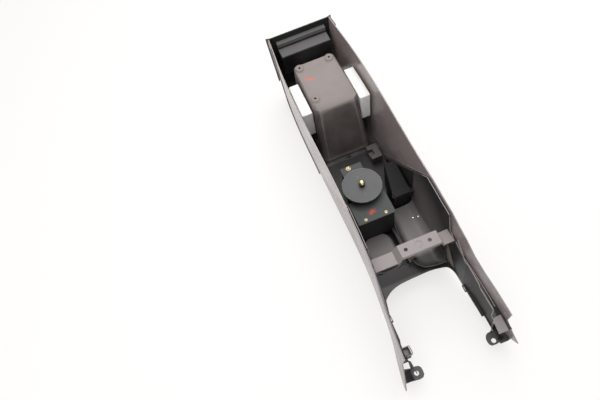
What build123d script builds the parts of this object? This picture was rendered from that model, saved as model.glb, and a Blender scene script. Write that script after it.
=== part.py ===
from build123d import *

import os
from math import sqrt

os.makedirs("parts", exist_ok=True)

# A car center console lying upside down, as it stands on a bench: +X is to the right when seen
# from the open front, +Y points to the rear end, +Z points up, out of the console's open underside.

# Envelope
length = 1046.0
height = 260.0
sill_z = 25.0
rear_y = length / 2
front_y = -length / 2
overrun = 8.0

# Offsets along and up the console are drawn for these sizes, and stretch with the real ones
drawn_length = 1046.0
drawn_height = 260.0
along = length / drawn_length
rise = height / drawn_height

# Half widths of the hull at its lower edge and at its rim, with the stations they belong to
lower_half = {"tip": 150.5, "leg": 116.5, "neck": 101.0, "waist": 96.0, "bin": 98.0, "rear": 86.0}
upper_half = {"tip": 131.0, "leg": 124.0, "neck": 113.0, "waist": 110.0, "bin": 110.0, "rear": 98.0}
leg_y = front_y + 138 * along
neck_y = front_y + 295 * along
waist_y = front_y + 485 * along
shoulder_y = rear_y - 382 * along
stations = [front_y - overrun, leg_y, neck_y, waist_y, shoulder_y, rear_y + overrun]

# Walls and fits
skin = 2.6
wall = 2.5
plate = 3.0
fit_gap = 0.3
body_inset = 5.6
hinge_clearance = 0.08

# Rims and edges of the side walls
seam_rim_y = front_y + 393 * along
seam_gap = 1.6
rim_drop_y = front_y + 290 * along
rim_drop_z = 248.0 * rise
neck_rim_y = front_y + 223 * along
neck_rim_z = 225.0 * rise
shoulder_rim_y = front_y + 187 * along
shoulder_rim_z = 201.0 * rise
leg_rim_y = front_y + 150 * along
leg_rim_z = 187.0 * rise
cheek_y = front_y + 38
cheek_z = 172.0 * rise
cheek_foot_z = 118.0 * rise
tip_z = 58.0
foot_y = front_y + 96 * along
inner_rim_drop = 9.0

# Rear end
rear_wall_y = rear_y - 7.5
rear_wrap = 40.0
rear_wrap_skin = 2.6
ear_reach = 5.0
ear_foot_z = 85.0
window_half = 66.0
window_z = 160.0 * rise
housing_half = 78.0
ledge_z = (150.0 * rise, 222.0 * rise, 240.0 * rise)
ledge_y = (rear_y - 59 * along, rear_y - 22)
tray_pivot_y = rear_y - 11
tray_pivot_z = 228.4 * rise
tray_roll = 8.4
tray_reach = 64.0 * rise
tray_sweep = 38.0
tray_pin_r = 2.2
tray_floor_r = 14.5

# Storage bin
bin_top_z = 217.6 * rise
bin_top_half = 63.9
bin_top_y = (rear_y - 300 * along, rear_y - 110 * along)
bin_foot_half = 72.0
bin_foot_y = (rear_y - 345 * along, rear_y - 104 * along)
bin_corner = 12.0
bin_wall = 2.8
bin_flange_y = (rear_y - 357 * along, rear_y - 18)
boss_x = 46.8
boss_y = (rear_y - 255 * along, rear_y - 124 * along)
boss_r = 13.0
boss_rise = 4.6
boss_hole_r = 3.8

# Foam blocks
foam_z = (114.0 * rise, 207.7 * rise)
foam_inner_x = 69.9
foam_length = 123.0 * along
foam_front_y = {"left": rear_y - 289 * along, "right": rear_y - 302.5 * along}

# Armrest lid
lid_front_y = rear_y - 355 * along
lid_overhang = 3.0
lid_gap = 0.5
pad_z = 12.0
pad_gap = 0.3
hinge_y = rear_y - 31
hinge_z = 13.0
hinge_roll = 11.5
pin_r = 3.0
pin_half = 66.0
lug_x = 52.0
lug_width = 7.0
lug_r = 6.5
lug_slot = 8.6
lug_sweep = 16.5
lid_pocket_depth = 8.0
latch_half = 15.0
latch_gap = 0.6
latch_travel = 3.5
latch_depth = 16.0
latch_z = (15.0, 21.0)
tongue_half = 7.0
tongue_length = 4.0
tongue_z = 31.0

# Front body
deck_rear_y = bin_flange_y[0] - fit_gap
bracket_y = front_y + 269 * along
bracket_width = 35.0
fascia_z = 40.0
fascia_rear_y = front_y + 296 * along
body_rim_rear_y = rear_y - 398 * along
mouth = {"corner": (-104.0, 193.0), "bend": (-86.0, 232.0), "left": (-43.0, 256.0),
         "middle": (12.0, 261.0), "right": (66.0, 259.5), "turn": (91.0, 249.0),
         "cheek": (102.0, 223.0), "leg": (104.0, 193.0)}
leg_wall = [(104.0, 193.0), (112.0, 144.0), (112.5, 67.0), (103.0, 57.0), (101.0, 25.0)]
leg_end_y = front_y + 25
leg_ledge_z = {"rear": 182.0 * rise, "neck": 157.0 * rise, "middle": 140.0 * rise, "front": 112.0 * rise}
tab_x = 102.0
tab_y = front_y + 32
tab_r = 13.0
tab_hole_r = 6.0
clip_spots = [(105.5, front_y + 178 * along), (113.5, front_y + 109 * along)]
clip_size = (9.0, 19.0)
clip_bar = 1.8
clip_window = (5.0, 13.0)
well_x = 6.0
well_z = 60.0
well_corner = 22.0
well_rear_y = front_y + 452 * along
well_front_y = front_y + 292 * along

# Front tray
tray_left_x = -86.0
tray_right_x = -2.0
tray_front_y = front_y + 300 * along
tray_rear_y = front_y + 412 * along
tray_floor_z = 50.0
tray_corner = 30.0

# Cross bracket
bracket_low_z = 180.0 * rise
bracket_high_z = bracket_low_z + 20.0
bracket_mid_x = (-33.5, 69.5)
bracket_flat_x = (-46.0, 76.0)
bracket_lip = 11.0
bracket_hole_x = (-17.6, 45.4)
bracket_hole_r = 5.0
bracket_seat = 7.0
crescent_x = 16.5
crescent_r = 8.0
crescent_width = 1.6
crescent_depth = 0.9

# Rotary drive
drive_x = -33.8
drive_y = front_y + 497 * along
drive_plate_z = 150.0 * rise
drive_tab_half = 29.5
drive_tab_y = 85.5
drive_foot_half = 51.5
drive_foot_y = (-97.0, -26.0)
disc_r = 52.9
disc_z = drive_plate_z + 23.5
disc_thick = 6.5
disc_pin_y = 29.0
hub_r = 12.0
spindle_r = 6.0
spindle_top_z = disc_z + 10.5
bush_r = 9.0
bush_length = 12.0
bush_flange = 2.0
cap_r = 8.8
cap_z = disc_z + 19.0
cap_neck_r = 7.0
cap_neck_z = disc_z + 5.5
housing_inset = 3.0
knob_r = 24.0
knob_z = (7.0, 24.4)
big_screw = (-8.0, 79.0)
small_screw_x = 28.5
small_screw_y = -88.0
recess_x = 21.7
recess_y = 79.5

# Accessory box beside the drive
box_front = (36.0, 88.0)
box_rear = (57.0, 90.0)
box_y = (front_y + 461 * along, front_y + 563 * along)
box_z = 126.0 * rise
box_flange_z = box_z + 8.0
box_flange_rise = 14.0
box_boss_y = front_y + 450 * along
box_boss_r = 5.6
box_boss_hole_r = 2.4
box_boss_x = (36.0, 85.4)

# Hook block at the foot of the bin
hook_x = (52.0, 84.0)
hook_y = (front_y + 634 * along, front_y + 684 * along)
hook_z = 60.0

# Small details of the legs
socket_size = (19.0, 22.0)
socket_centre = (-102.0, front_y + 82 * along)
socket_z = 62.0


def hull(inset, low=0.0, high=height):
    """The tapering hull between its two edge curves, drawn in on both sides by one inset."""
    with BuildPart() as body:
        for level, halves in ((low, lower_half), (high, upper_half)):
            with BuildSketch(Plane.XY.offset(level)):
                with BuildLine():
                    points = [(half - inset, y) for half, y in zip(halves.values(), stations)]
                    side = Spline(*points)
                    mirror(side, about=Plane.YZ)
                    Line((-points[0][0], points[0][1]), points[0])
                    Line((-points[-1][0], points[-1][1]), points[-1])
                make_face()
        loft()
    return body.part


def side_prism(points, x_from, x_to):
    """A flat outline seen from the side, as (y, z) points, drawn out along X."""
    with BuildPart() as prism:
        with BuildSketch(Plane.YZ.offset(x_from)):
            with BuildLine():
                Polyline(*points, close=True)
            make_face()
        extrude(amount=x_to - x_from)
    return prism.part


def plan_prism(points, z_from, z_to):
    """A flat outline seen from above, as (x, y) points, drawn out along Z."""
    with BuildPart() as prism:
        with BuildSketch(Plane.XY.offset(z_from)):
            with BuildLine():
                Polyline(*points, close=True)
            make_face()
        extrude(amount=z_to - z_from)
    return prism.part


def block(x_span, y_span, z_span, corner=0.0):
    """A block between two corners, with its upright edges rounded."""
    with BuildPart() as solid:
        with BuildSketch(Plane.XY.offset(z_span[0])):
            with Locations(((x_span[0] + x_span[1]) / 2, (y_span[0] + y_span[1]) / 2)):
                if corner > 0:
                    RectangleRounded(x_span[1] - x_span[0], y_span[1] - y_span[0], corner)
                else:
                    Rectangle(x_span[1] - x_span[0], y_span[1] - y_span[0])
        extrude(amount=z_span[1] - z_span[0])
    return solid.part


def rod(centre, radius, z_from, z_to):
    """An upright round bar."""
    with BuildPart() as solid:
        with BuildSketch(Plane.XY.offset(z_from)):
            with Locations(centre):
                Circle(radius)
        extrude(amount=z_to - z_from)
    return solid.part


def cross_rod(y, z, radius, x_from, x_to):
    """A round bar along X."""
    with BuildPart() as solid:
        with BuildSketch(Plane.YZ.offset(x_from)):
            with Locations((y, z)):
                Circle(radius)
        extrude(amount=x_to - x_from)
    return solid.part


def save(solid, name):
    """Label one finished piece and write it to its file."""
    solid.label = name
    export_step(solid, f"parts/{name}.step")


# Hulls at the faces of the skins, which everything inside is trimmed to
hull_outer = hull(0.0)
hull_skin = hull(skin)
hull_seat = hull(skin + fit_gap)
hull_body = hull(body_inset)
hull_inside = hull(body_inset + wall)
hull_fit = hull(body_inset + wall + fit_gap)
reach = 200.0
above = height + 40

# Slant of the seam between the rear side panels and the front trims
slant = (seam_rim_y - shoulder_y) / (height - sill_z)


def seam_y(level):
    """Place of the slanting seam at one height."""
    return shoulder_y + slant * (level - sill_z)


# Rear side panels
panel_outline = [(rear_wall_y - fit_gap, sill_z), (rear_wall_y - fit_gap, height),
                 (seam_y(height), height), (seam_y(sill_z), sill_z)]
with BuildPart() as side_panel_right:
    add(hull_outer)
    add(hull_skin, mode=Mode.SUBTRACT)
    add(side_prism(panel_outline, 0, reach), mode=Mode.INTERSECT)
with BuildPart() as side_panel_left:
    add(mirror(side_panel_right.part, about=Plane.YZ, mode=Mode.PRIVATE))
save(side_panel_right.part, "side_panel_right")
save(side_panel_left.part, "side_panel_left")

# Front trims, from the seam to the tips of the legs
trim_outline = [(seam_y(sill_z) - seam_gap, sill_z), (seam_y(height) - seam_gap, height - 1),
                (rim_drop_y, rim_drop_z), (neck_rim_y, neck_rim_z), (shoulder_rim_y, shoulder_rim_z),
                (leg_rim_y, leg_rim_z), (cheek_y, cheek_z), (cheek_y + 7, cheek_foot_z),
                (front_y, tip_z), (front_y + 18, 42.0), (foot_y, 0.0), (leg_y, 2.0),
                (neck_rim_y, sill_z)]
trim_prism = side_prism(trim_outline, 0, reach)
with BuildPart() as front_trim_right:
    add(hull_outer)
    add(hull_skin, mode=Mode.SUBTRACT)
    add(trim_prism, mode=Mode.INTERSECT)
with BuildPart() as front_trim_left:
    add(mirror(front_trim_right.part, about=Plane.YZ, mode=Mode.PRIVATE))
save(front_trim_right.part, "front_trim_right")
save(front_trim_left.part, "front_trim_left")

# Rear end panel: a wall with a window, returns along both sides and an ear at each rim corner
wrap_hull = hull(-fit_gap - rear_wrap_skin)
wrap_seat = hull(-fit_gap)
ear_hull = hull(-rear_wrap_skin - ear_reach)
wrap_outline = [(rear_wall_y - rear_wrap, sill_z), (rear_wall_y + plate, sill_z),
                (rear_wall_y + plate, height), (rear_wall_y - rear_wrap, height)]
corner_x = upper_half["rear"] + rear_wrap_skin
ear_plan = [(corner_x - 9, rear_wall_y + plate - 0.5), (corner_x + ear_reach, rear_y),
            (corner_x + ear_reach, rear_y - 3), (corner_x - 2, rear_wall_y - 8)]
with BuildPart() as ear_blank:
    add(ear_hull)
    add(plan_prism(ear_plan, ear_foot_z, height), mode=Mode.INTERSECT)
with BuildPart() as wrap_hollow:
    add(wrap_seat)
    add(block((-reach, reach), (rear_wall_y - 2 * rear_wrap, rear_wall_y), (0, height)),
        mode=Mode.INTERSECT)
roll_top = tray_pivot_z + sqrt((tray_roll + fit_gap) ** 2 - (rear_wall_y - tray_pivot_y) ** 2)
with BuildPart() as rear_panel:
    add(wrap_hull)
    add(side_prism(wrap_outline, -reach, reach), mode=Mode.INTERSECT)
    add(ear_blank.part)
    add(mirror(ear_blank.part, about=Plane.YZ, mode=Mode.PRIVATE))
    add(wrap_hollow.part, mode=Mode.SUBTRACT)
    add(block((-window_half, window_half), (rear_wall_y - 5, rear_wall_y + plate + 5),
              (window_z, roll_top)), mode=Mode.SUBTRACT)
save(rear_panel.part, "rear_panel")

# Stepped housing behind the rear window
step_outline = [(rear_wall_y, ledge_z[0]), (rear_wall_y, ledge_z[2]), (ledge_y[1], ledge_z[2]),
                (ledge_y[1], ledge_z[1]), (ledge_y[0], ledge_z[1]), (ledge_y[0], ledge_z[0])]
hollow_outline = [(rear_wall_y + 1, ledge_z[0] + wall), (rear_wall_y + 1, ledge_z[2] - wall),
                  (ledge_y[1] + wall, ledge_z[2] - wall), (ledge_y[1] + wall, ledge_z[1] - wall),
                  (ledge_y[0] + wall, ledge_z[1] - wall), (ledge_y[0] + wall, ledge_z[0] + wall)]
with BuildPart() as rear_housing:
    add(side_prism(step_outline, -housing_half, housing_half))
    add(side_prism(hollow_outline, -housing_half + wall, housing_half - wall), mode=Mode.SUBTRACT)
    add(cross_rod(tray_pivot_y, tray_pivot_z, tray_pin_r + hinge_clearance, -reach, reach),
        mode=Mode.SUBTRACT)
save(rear_housing.part, "rear_housing")

# Tipping ashtray: flap, sector-shaped bucket and two pins
flap_half = window_half - 0.7
with BuildPart() as tray_roll_blank:
    with BuildSketch(Plane.YZ.offset(-flap_half)):
        with Locations((tray_pivot_y, tray_pivot_z)):
            Circle(tray_roll)
    extrude(amount=2 * flap_half)
with BuildPart() as flap_blank:
    add(block((-flap_half, flap_half), (rear_wall_y, rear_wall_y + plate),
              (tray_pivot_z, tray_pivot_z + tray_roll)))
    add(tray_roll_blank.part, mode=Mode.INTERSECT)


def sector(radius_in, radius_out, x_half, inset_angle):
    """Ring sector about the tray's pivot, from the flap inwards."""
    start, end = -90.0 - tray_sweep + inset_angle, -90.0
    with BuildPart() as piece:
        with BuildSketch(Plane.YZ.offset(-x_half)):
            with BuildLine():
                pivot = (tray_pivot_y, tray_pivot_z)
                outer = CenterArc(pivot, radius_out, start, end - start)
                inner = CenterArc(pivot, radius_in, start, end - start)
                Line(outer @ 0, inner @ 0)
                Line(outer @ 1, inner @ 1)
            make_face()
        extrude(amount=2 * x_half)
    return piece.part


bucket_half = flap_half - 2
with BuildPart() as rear_ashtray:
    add(block((-flap_half, flap_half), (rear_wall_y, rear_wall_y + plate),
              (window_z + 0.7, tray_pivot_z)))
    add(flap_blank.part)
    add(sector(12.0, tray_reach, bucket_half, 0.0))
    add(side_prism([(tray_pivot_y - 0.5, tray_pivot_z - tray_reach + 1),
                    (rear_wall_y + 1, tray_pivot_z - tray_reach + 1),
                    (rear_wall_y + 1, tray_pivot_z - 12), (tray_pivot_y - 0.5, tray_pivot_z - 12)],
                   -bucket_half, bucket_half))
    add(sector(tray_floor_r, tray_reach + 5, bucket_half - 2.2, 3.0), mode=Mode.SUBTRACT)
    add(block((-bucket_half, -bucket_half + 4), (tray_pivot_y - 4, rear_wall_y + 1),
              (tray_pivot_z - 20, tray_pivot_z + 3)))
    add(block((bucket_half - 4, bucket_half), (tray_pivot_y - 4, rear_wall_y + 1),
              (tray_pivot_z - 20, tray_pivot_z + 3)))
    add(cross_rod(tray_pivot_y, tray_pivot_z, tray_pin_r, -housing_half, -bucket_half + 2))
    add(cross_rod(tray_pivot_y, tray_pivot_z, tray_pin_r, bucket_half - 2, housing_half))
save(rear_ashtray.part, "rear_ashtray")

# Storage bin: a drafted tub with its floor up, a flange at its mouth, bosses and hinge lugs


def tub(level_low, level_high, inset):
    """Drafted tub between the mouth and the floor of the bin, drawn in by one inset."""
    with BuildPart() as body:
        for level, half, y_span in ((level_low, bin_foot_half, bin_foot_y),
                                    (level_high, bin_top_half, bin_top_y)):
            with BuildSketch(Plane.XY.offset(level)):
                with Locations((0, (y_span[0] + y_span[1]) / 2)):
                    RectangleRounded(2 * (half - inset), y_span[1] - y_span[0] - 2 * inset,
                                     bin_corner - inset)
        loft()
    return body.part


bin_hollow = tub(sill_z, bin_top_z - bin_wall, bin_wall)
tongue_y = lid_front_y + 1.5
with BuildPart() as bin_blank:
    add(hull_seat)
    add(block((-reach, reach), bin_flange_y, (sill_z, sill_z + plate)), mode=Mode.INTERSECT)
with BuildPart() as storage_bin:
    add(bin_blank.part)
    add(tub(sill_z, bin_top_z, 0.0))
    add(bin_hollow, mode=Mode.SUBTRACT)
    add(block((-bin_foot_half + bin_wall + 4, bin_foot_half - bin_wall - 4),
              (bin_foot_y[0] + bin_wall + 4, bin_foot_y[1] - bin_wall - 4),
              (sill_z - 1, sill_z + plate + 1), bin_corner), mode=Mode.SUBTRACT)
    with Locations((-boss_x, boss_y[0], bin_top_z - bin_wall), (-boss_x, boss_y[1], bin_top_z - bin_wall),
                   (boss_x, boss_y[1], bin_top_z - bin_wall)):
        Cylinder(boss_r, bin_wall + boss_rise, align=(Align.CENTER, Align.CENTER, Align.MIN))
    with Locations((-boss_x, boss_y[0], bin_top_z), (-boss_x, boss_y[1], bin_top_z),
                   (boss_x, boss_y[1], bin_top_z)):
        Cylinder(boss_hole_r, 4 * boss_rise, mode=Mode.SUBTRACT)
    for side in (-1, 1):
        add(block((side * lug_x - lug_width / 2, side * lug_x + lug_width / 2),
                  (hinge_y - lug_r, hinge_y + lug_r), (hinge_z, sill_z + 1)))
        add(cross_rod(hinge_y, hinge_z, lug_r, side * lug_x - lug_width / 2, side * lug_x + lug_width / 2))
    add(cross_rod(hinge_y, hinge_z, pin_r, -reach, reach), mode=Mode.SUBTRACT)
    add(block((-tongue_half - latch_gap, tongue_half + latch_gap),
              (tongue_y - latch_gap - 0.4, tongue_y + tongue_length + latch_travel + latch_gap),
              (sill_z - 1, sill_z + plate + 1)), mode=Mode.SUBTRACT)
save(storage_bin.part, "storage_bin")

# Foam blocks wedged between the bin and the side panels
for name, sign in (("left", -1), ("right", 1)):
    x_span = sorted((sign * foam_inner_x, sign * reach))
    y_span = (foam_front_y[name], foam_front_y[name] + foam_length)
    with BuildPart() as foam:
        add(hull_seat)
        add(block(x_span, y_span, foam_z), mode=Mode.INTERSECT)
    save(foam.part, f"foam_block_{name}")

# Armrest lid: shell, pad, hinge pin and latch
lid_hull = hull(-lid_overhang)
lid_top_z = sill_z - lid_gap
lid_outline = [(lid_front_y, pad_z), (hinge_y, pad_z), (hinge_y, lid_top_z), (lid_front_y, lid_top_z)]
latch_y = lid_front_y - 2.5
lid_pocket_half = lower_half["rear"] - 22
with BuildPart() as lid_end_blank:
    add(lid_hull)
    add(cross_rod(hinge_y, hinge_z, hinge_roll, -reach, reach), mode=Mode.INTERSECT)
    add(block((-reach, reach), (hinge_y - 1, rear_y), (pad_z, height)), mode=Mode.INTERSECT)
with BuildPart() as lid_blank:
    add(lid_hull)
    add(side_prism(lid_outline, -reach, reach), mode=Mode.INTERSECT)
with BuildPart() as lid_shell:
    add(lid_blank.part)
    add(lid_end_blank.part)
    add(cross_rod(hinge_y, hinge_z, pin_r + hinge_clearance, -reach, reach), mode=Mode.SUBTRACT)
    for side in (-1, 1):
        add(block((side * lug_x - lug_slot / 2, side * lug_x + lug_slot / 2),
                  (hinge_y - lug_sweep, rear_y), (0, sill_z)), mode=Mode.SUBTRACT)
    add(block((-lid_pocket_half, lid_pocket_half), (lid_front_y + 30, hinge_y - 30),
              (lid_top_z - lid_pocket_depth, sill_z), bin_corner), mode=Mode.SUBTRACT)
    add(block((-latch_half - latch_gap, latch_half + latch_gap),
              (lid_front_y - 1, lid_front_y + latch_depth + latch_travel),
              (latch_z[0] - latch_gap, sill_z)), mode=Mode.SUBTRACT)
save(lid_shell.part, "lid_shell")

with BuildPart() as pad_end_blank:
    add(lid_hull)
    add(cross_rod(hinge_y, hinge_z, hinge_roll, -reach, reach), mode=Mode.INTERSECT)
    add(block((-reach, reach), (hinge_y - 1, rear_y), (0, pad_z - pad_gap)), mode=Mode.INTERSECT)
with BuildPart() as lid_pad:
    add(lid_hull)
    add(block((-reach, reach), (lid_front_y, hinge_y), (0, pad_z - pad_gap)), mode=Mode.INTERSECT)
    add(pad_end_blank.part)
    for side in (-1, 1):
        add(block((side * lug_x - lug_slot / 2, side * lug_x + lug_slot / 2),
                  (hinge_y - lug_sweep, rear_y), (-1, sill_z)), mode=Mode.SUBTRACT)
    add(cross_rod(hinge_y, hinge_z, pin_r + 1, -reach, reach), mode=Mode.SUBTRACT)
save(lid_pad.part, "lid_pad")

save(cross_rod(hinge_y, hinge_z, pin_r, -pin_half, pin_half), "hinge_pin")

with BuildPart() as lid_latch:
    add(block((-latch_half, latch_half), (latch_y, lid_front_y + latch_depth - latch_gap), latch_z, 2.0))
    add(block((-tongue_half, tongue_half), (tongue_y, tongue_y + tongue_length),
              (latch_z[0] + 1, tongue_z)))
save(lid_latch.part, "lid_latch")

# Front body: deck, fascia, inner walls, legs, tabs and slot clips in one moulding
mouth_points = [(x, front_y + y * along) for x, y in mouth.values()]
leg_points = [(x, front_y + y * along) for x, y in leg_wall]


def leg_block(inset, top_drop, z_low, boundary):
    """Solid between the leg's inner wall and the trim, under its sloping ledge."""
    rim = [(fascia_rear_y - 20, leg_ledge_z["rear"]), (leg_points[0][1] + 22, leg_ledge_z["neck"]),
           (leg_points[1][1], leg_ledge_z["middle"]), (leg_end_y, leg_ledge_z["front"])]
    rim = [(y, z - top_drop) for y, z in rim]
    side = [(rim[0][0], z_low)] + rim + [(rim[-1][0], z_low)]
    plan = [(leg_points[0][0] + inset, fascia_rear_y)] + [(x + inset, y) for x, y in leg_points]
    plan += [(leg_points[-1][0] + inset, front_y - 10), (reach, front_y - 10), (reach, fascia_rear_y)]
    with BuildPart() as piece:
        add(boundary)
        add(side_prism(side, 0, reach), mode=Mode.INTERSECT)
        add(plan_prism(plan, 0, height), mode=Mode.INTERSECT)
    return piece.part


leg_solid = leg_block(0.0, 0.0, fascia_z - plate, hull_seat)
leg_hollow = leg_block(wall, wall, -10.0, hull_outer)
with BuildPart() as leg_right:
    add(leg_solid)
    add(leg_hollow, mode=Mode.SUBTRACT)

with BuildPart() as mouth_cut:
    with BuildSketch(Plane.XY.offset(-10)):
        with BuildLine():
            edge = Spline(*mouth_points)
            Polyline(edge @ 1, (leg_points[0][0], front_y - 20), (-leg_points[0][0], front_y - 20),
                     edge @ 0)
        make_face()
    extrude(amount=height)

body_walls_outline = [(body_rim_rear_y, sill_z), (body_rim_rear_y + slant * (height - sill_z) + 25,
                                                   height - inner_rim_drop),
                      (rim_drop_y, rim_drop_z - inner_rim_drop), (fascia_rear_y - 20, leg_ledge_z["rear"]),
                      (fascia_rear_y - 20, sill_z)]
with BuildPart() as body_walls:
    add(hull_body)
    add(hull_inside, mode=Mode.SUBTRACT)
    add(side_prism(body_walls_outline, -reach, reach), mode=Mode.INTERSECT)

with BuildPart() as deck_blank:
    add(hull_seat)
    add(block((-reach, reach), (fascia_rear_y - plate, deck_rear_y), (sill_z, sill_z + plate)),
        mode=Mode.INTERSECT)
with BuildPart() as fascia_blank:
    add(hull_seat)
    add(block((-reach, reach), (front_y + 20, fascia_rear_y), (fascia_z - plate, fascia_z)),
        mode=Mode.INTERSECT)
    add(mouth_cut.part, mode=Mode.SUBTRACT)
with BuildPart() as riser_blank:
    add(hull_seat)
    add(block((-reach, reach), (fascia_rear_y - plate, fascia_rear_y), (sill_z, fascia_z)),
        mode=Mode.INTERSECT)

# The dished well: a block with a rounded hollow, open towards the drive
with BuildPart() as well_cutter:
    add(block((well_x + 6, upper_half["leg"] + 60), (well_front_y + 6, well_rear_y + 60),
              (sill_z + plate, well_z + 80)))
    fillet(well_cutter.edges().filter_by(Axis.Z).group_by(Axis.Y)[0].group_by(Axis.X)[0], well_corner)
    fillet(well_cutter.faces().sort_by(Axis.Z)[0].edges(), well_corner - 4)
with BuildPart() as well_block:
    add(hull_body)
    add(block((well_x, reach), (well_front_y, well_rear_y), (sill_z, well_z)), mode=Mode.INTERSECT)
    add(well_cutter.part, mode=Mode.SUBTRACT)

with BuildPart() as tab_right:
    with BuildSketch(Plane.XY.offset(fascia_z - plate)):
        with BuildLine():
            Polyline((tab_x, tab_y + tab_r), (tab_x + 30, tab_y + tab_r), (tab_x + 30, tab_y - tab_r),
                     (tab_x, tab_y - tab_r))
            ThreePointArc((tab_x, tab_y - tab_r), (tab_x - tab_r, tab_y), (tab_x, tab_y + tab_r))
        make_face()
    extrude(amount=plate)
    add(hull_seat, mode=Mode.INTERSECT)

with BuildPart() as clips_right:
    for outer_x, y in clip_spots:
        loop_x = (outer_x - clip_size[0], outer_x)
        add(block(loop_x, (y - clip_size[1] / 2, y + clip_size[1] / 2), (fascia_z - plate, fascia_z)))
        add(block((loop_x[0] + clip_bar, loop_x[0] + clip_bar + clip_window[0]),
                  (y - clip_window[1] / 2, y + clip_window[1] / 2),
                  (fascia_z - plate - 1, fascia_z + 1)), mode=Mode.SUBTRACT)

with BuildPart() as socket_blank:
    x0, y0 = socket_centre
    sx, sy = socket_size
    add(block((x0 - sx / 2 - 8, x0 + sx / 2), (y0 - sy / 2, y0 + sy / 2), (fascia_z - plate, socket_z), 3.0))
    add(block((x0 - sx / 2, x0 + sx / 2 - wall), (y0 - sy / 2 + wall, y0 + sy / 2 - wall),
              (fascia_z, socket_z + 1)), mode=Mode.SUBTRACT)

with BuildPart() as bracket_seats:
    add(hull_body)
    add(hull(body_inset + wall + bracket_seat), mode=Mode.SUBTRACT)
    add(block((-reach, reach), (bracket_y - bracket_width / 2 - 2, bracket_y + bracket_width / 2 + 2),
              (bracket_low_z - plate - 6, bracket_low_z - plate)), mode=Mode.INTERSECT)

with BuildPart() as front_body:
    add(deck_blank.part)
    add(riser_blank.part)
    add(fascia_blank.part)
    add(body_walls.part)
    add(leg_right.part)
    add(mirror(leg_right.part, about=Plane.YZ, mode=Mode.PRIVATE))
    add(well_block.part)
    add(tab_right.part)
    add(mirror(tab_right.part, about=Plane.YZ, mode=Mode.PRIVATE))
    add(clips_right.part)
    add(mirror(clips_right.part, about=Plane.YZ, mode=Mode.PRIVATE))
    add(socket_blank.part)
    add(bracket_seats.part)
    with Locations((tab_x, tab_y, fascia_z), (-tab_x, tab_y, fascia_z)):
        Cylinder(tab_hole_r, 4 * plate, mode=Mode.SUBTRACT)
    with Locations((drive_x, drive_y, sill_z)):
        Cylinder(bush_r, 4 * plate, mode=Mode.SUBTRACT)
    add(block((tray_left_x + 4, tray_right_x - 4), (tray_front_y + 4, tray_rear_y - 4),
              (sill_z - 1, sill_z + plate + 1), tray_corner - 4), mode=Mode.SUBTRACT)
save(front_body.part, "front_body")

# Front tray, let into the deck
with BuildPart() as front_tray:
    add(block((tray_left_x, tray_right_x), (tray_front_y, tray_rear_y),
              (sill_z + plate, sill_z + 2 * plate), tray_corner))
    add(block((tray_left_x + 5, tray_right_x - 5), (tray_front_y + 5, tray_rear_y - 5),
              (sill_z, tray_floor_z), tray_corner - 5))
    fillet(front_tray.faces().sort_by(Axis.Z)[-1].edges(), 5.0)
    add(block((tray_left_x + 8, tray_right_x - 8), (tray_front_y + 8, tray_rear_y - 8),
              (sill_z - 1, tray_floor_z - wall), tray_corner - 8), mode=Mode.SUBTRACT)
save(front_tray.part, "front_tray")

# Cross bracket: a stepped strap with down-turned lips, two holes and a crescent mark
low, high = bracket_low_z, bracket_high_z
strap_top = [(-reach, low), (bracket_flat_x[0], low), (bracket_mid_x[0], high), (bracket_mid_x[1], high),
             (bracket_flat_x[1], low), (reach, low)]
strap_low = [(x, z - plate) for x, z in reversed(strap_top)]
lip_low = [(x, z - bracket_lip) for x, z in reversed(strap_top)]
front_plane = Plane.XZ.offset(-(bracket_y - bracket_width / 2))
with BuildPart() as bracket_strap:
    with BuildSketch(front_plane):
        with BuildLine():
            Polyline(*strap_top, *strap_low, close=True)
        make_face()
    extrude(amount=-bracket_width)
with BuildPart() as bracket_lips:
    with BuildSketch(front_plane):
        with BuildLine():
            Polyline(*strap_top, *lip_low, close=True)
        make_face()
    extrude(amount=-wall)
    with BuildSketch(Plane.XZ.offset(-(bracket_y + bracket_width / 2 - wall))):
        with BuildLine():
            Polyline(*strap_top, *lip_low, close=True)
        make_face()
    extrude(amount=-wall)
    add(block((bracket_flat_x[0], bracket_flat_x[1]), (front_y, rear_y), (0, height)), mode=Mode.INTERSECT)
with BuildPart() as crescent:
    with BuildSketch(Plane.XY.offset(high - crescent_depth)):
        with Locations((crescent_x, bracket_y)):
            Circle(crescent_r + crescent_width)
            Circle(crescent_r, mode=Mode.SUBTRACT)
            with Locations((-crescent_r, -crescent_r)):
                Rectangle(2 * crescent_r, 2 * crescent_r, mode=Mode.SUBTRACT)
    extrude(amount=2 * crescent_depth)
with BuildPart() as cross_bracket:
    add(bracket_strap.part)
    add(bracket_lips.part)
    add(hull_fit, mode=Mode.INTERSECT)
    with Locations(*[(x, bracket_y, high) for x in bracket_hole_x]):
        Cylinder(bracket_hole_r, 4 * plate, mode=Mode.SUBTRACT)
    add(crescent.part, mode=Mode.SUBTRACT)
save(cross_bracket.part, "cross_bracket")

# Rotary drive: housing, plate, disc, spindle, cap nut, knob and screws

def drive_outline(inset, z_from, z_to):
    """Outline of the drive's plate: a foot, a round middle and a tab."""
    with BuildPart() as piece:
        with BuildSketch(Plane.XY.offset(z_from)):
            with Locations((drive_x, drive_y + (drive_foot_y[0] + drive_foot_y[1]) / 2)):
                Rectangle(2 * (drive_foot_half - inset), drive_foot_y[1] - drive_foot_y[0] - 2 * inset)
            with Locations((drive_x, drive_y + (drive_tab_y + drive_foot_y[1]) / 2 - inset)):
                Rectangle(2 * (drive_tab_half - inset), drive_tab_y - drive_foot_y[1] + inset)
            with Locations((drive_x, drive_y)):
                Circle(disc_r - 6 - inset)
        extrude(amount=z_to - z_from)
    return piece.part


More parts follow.
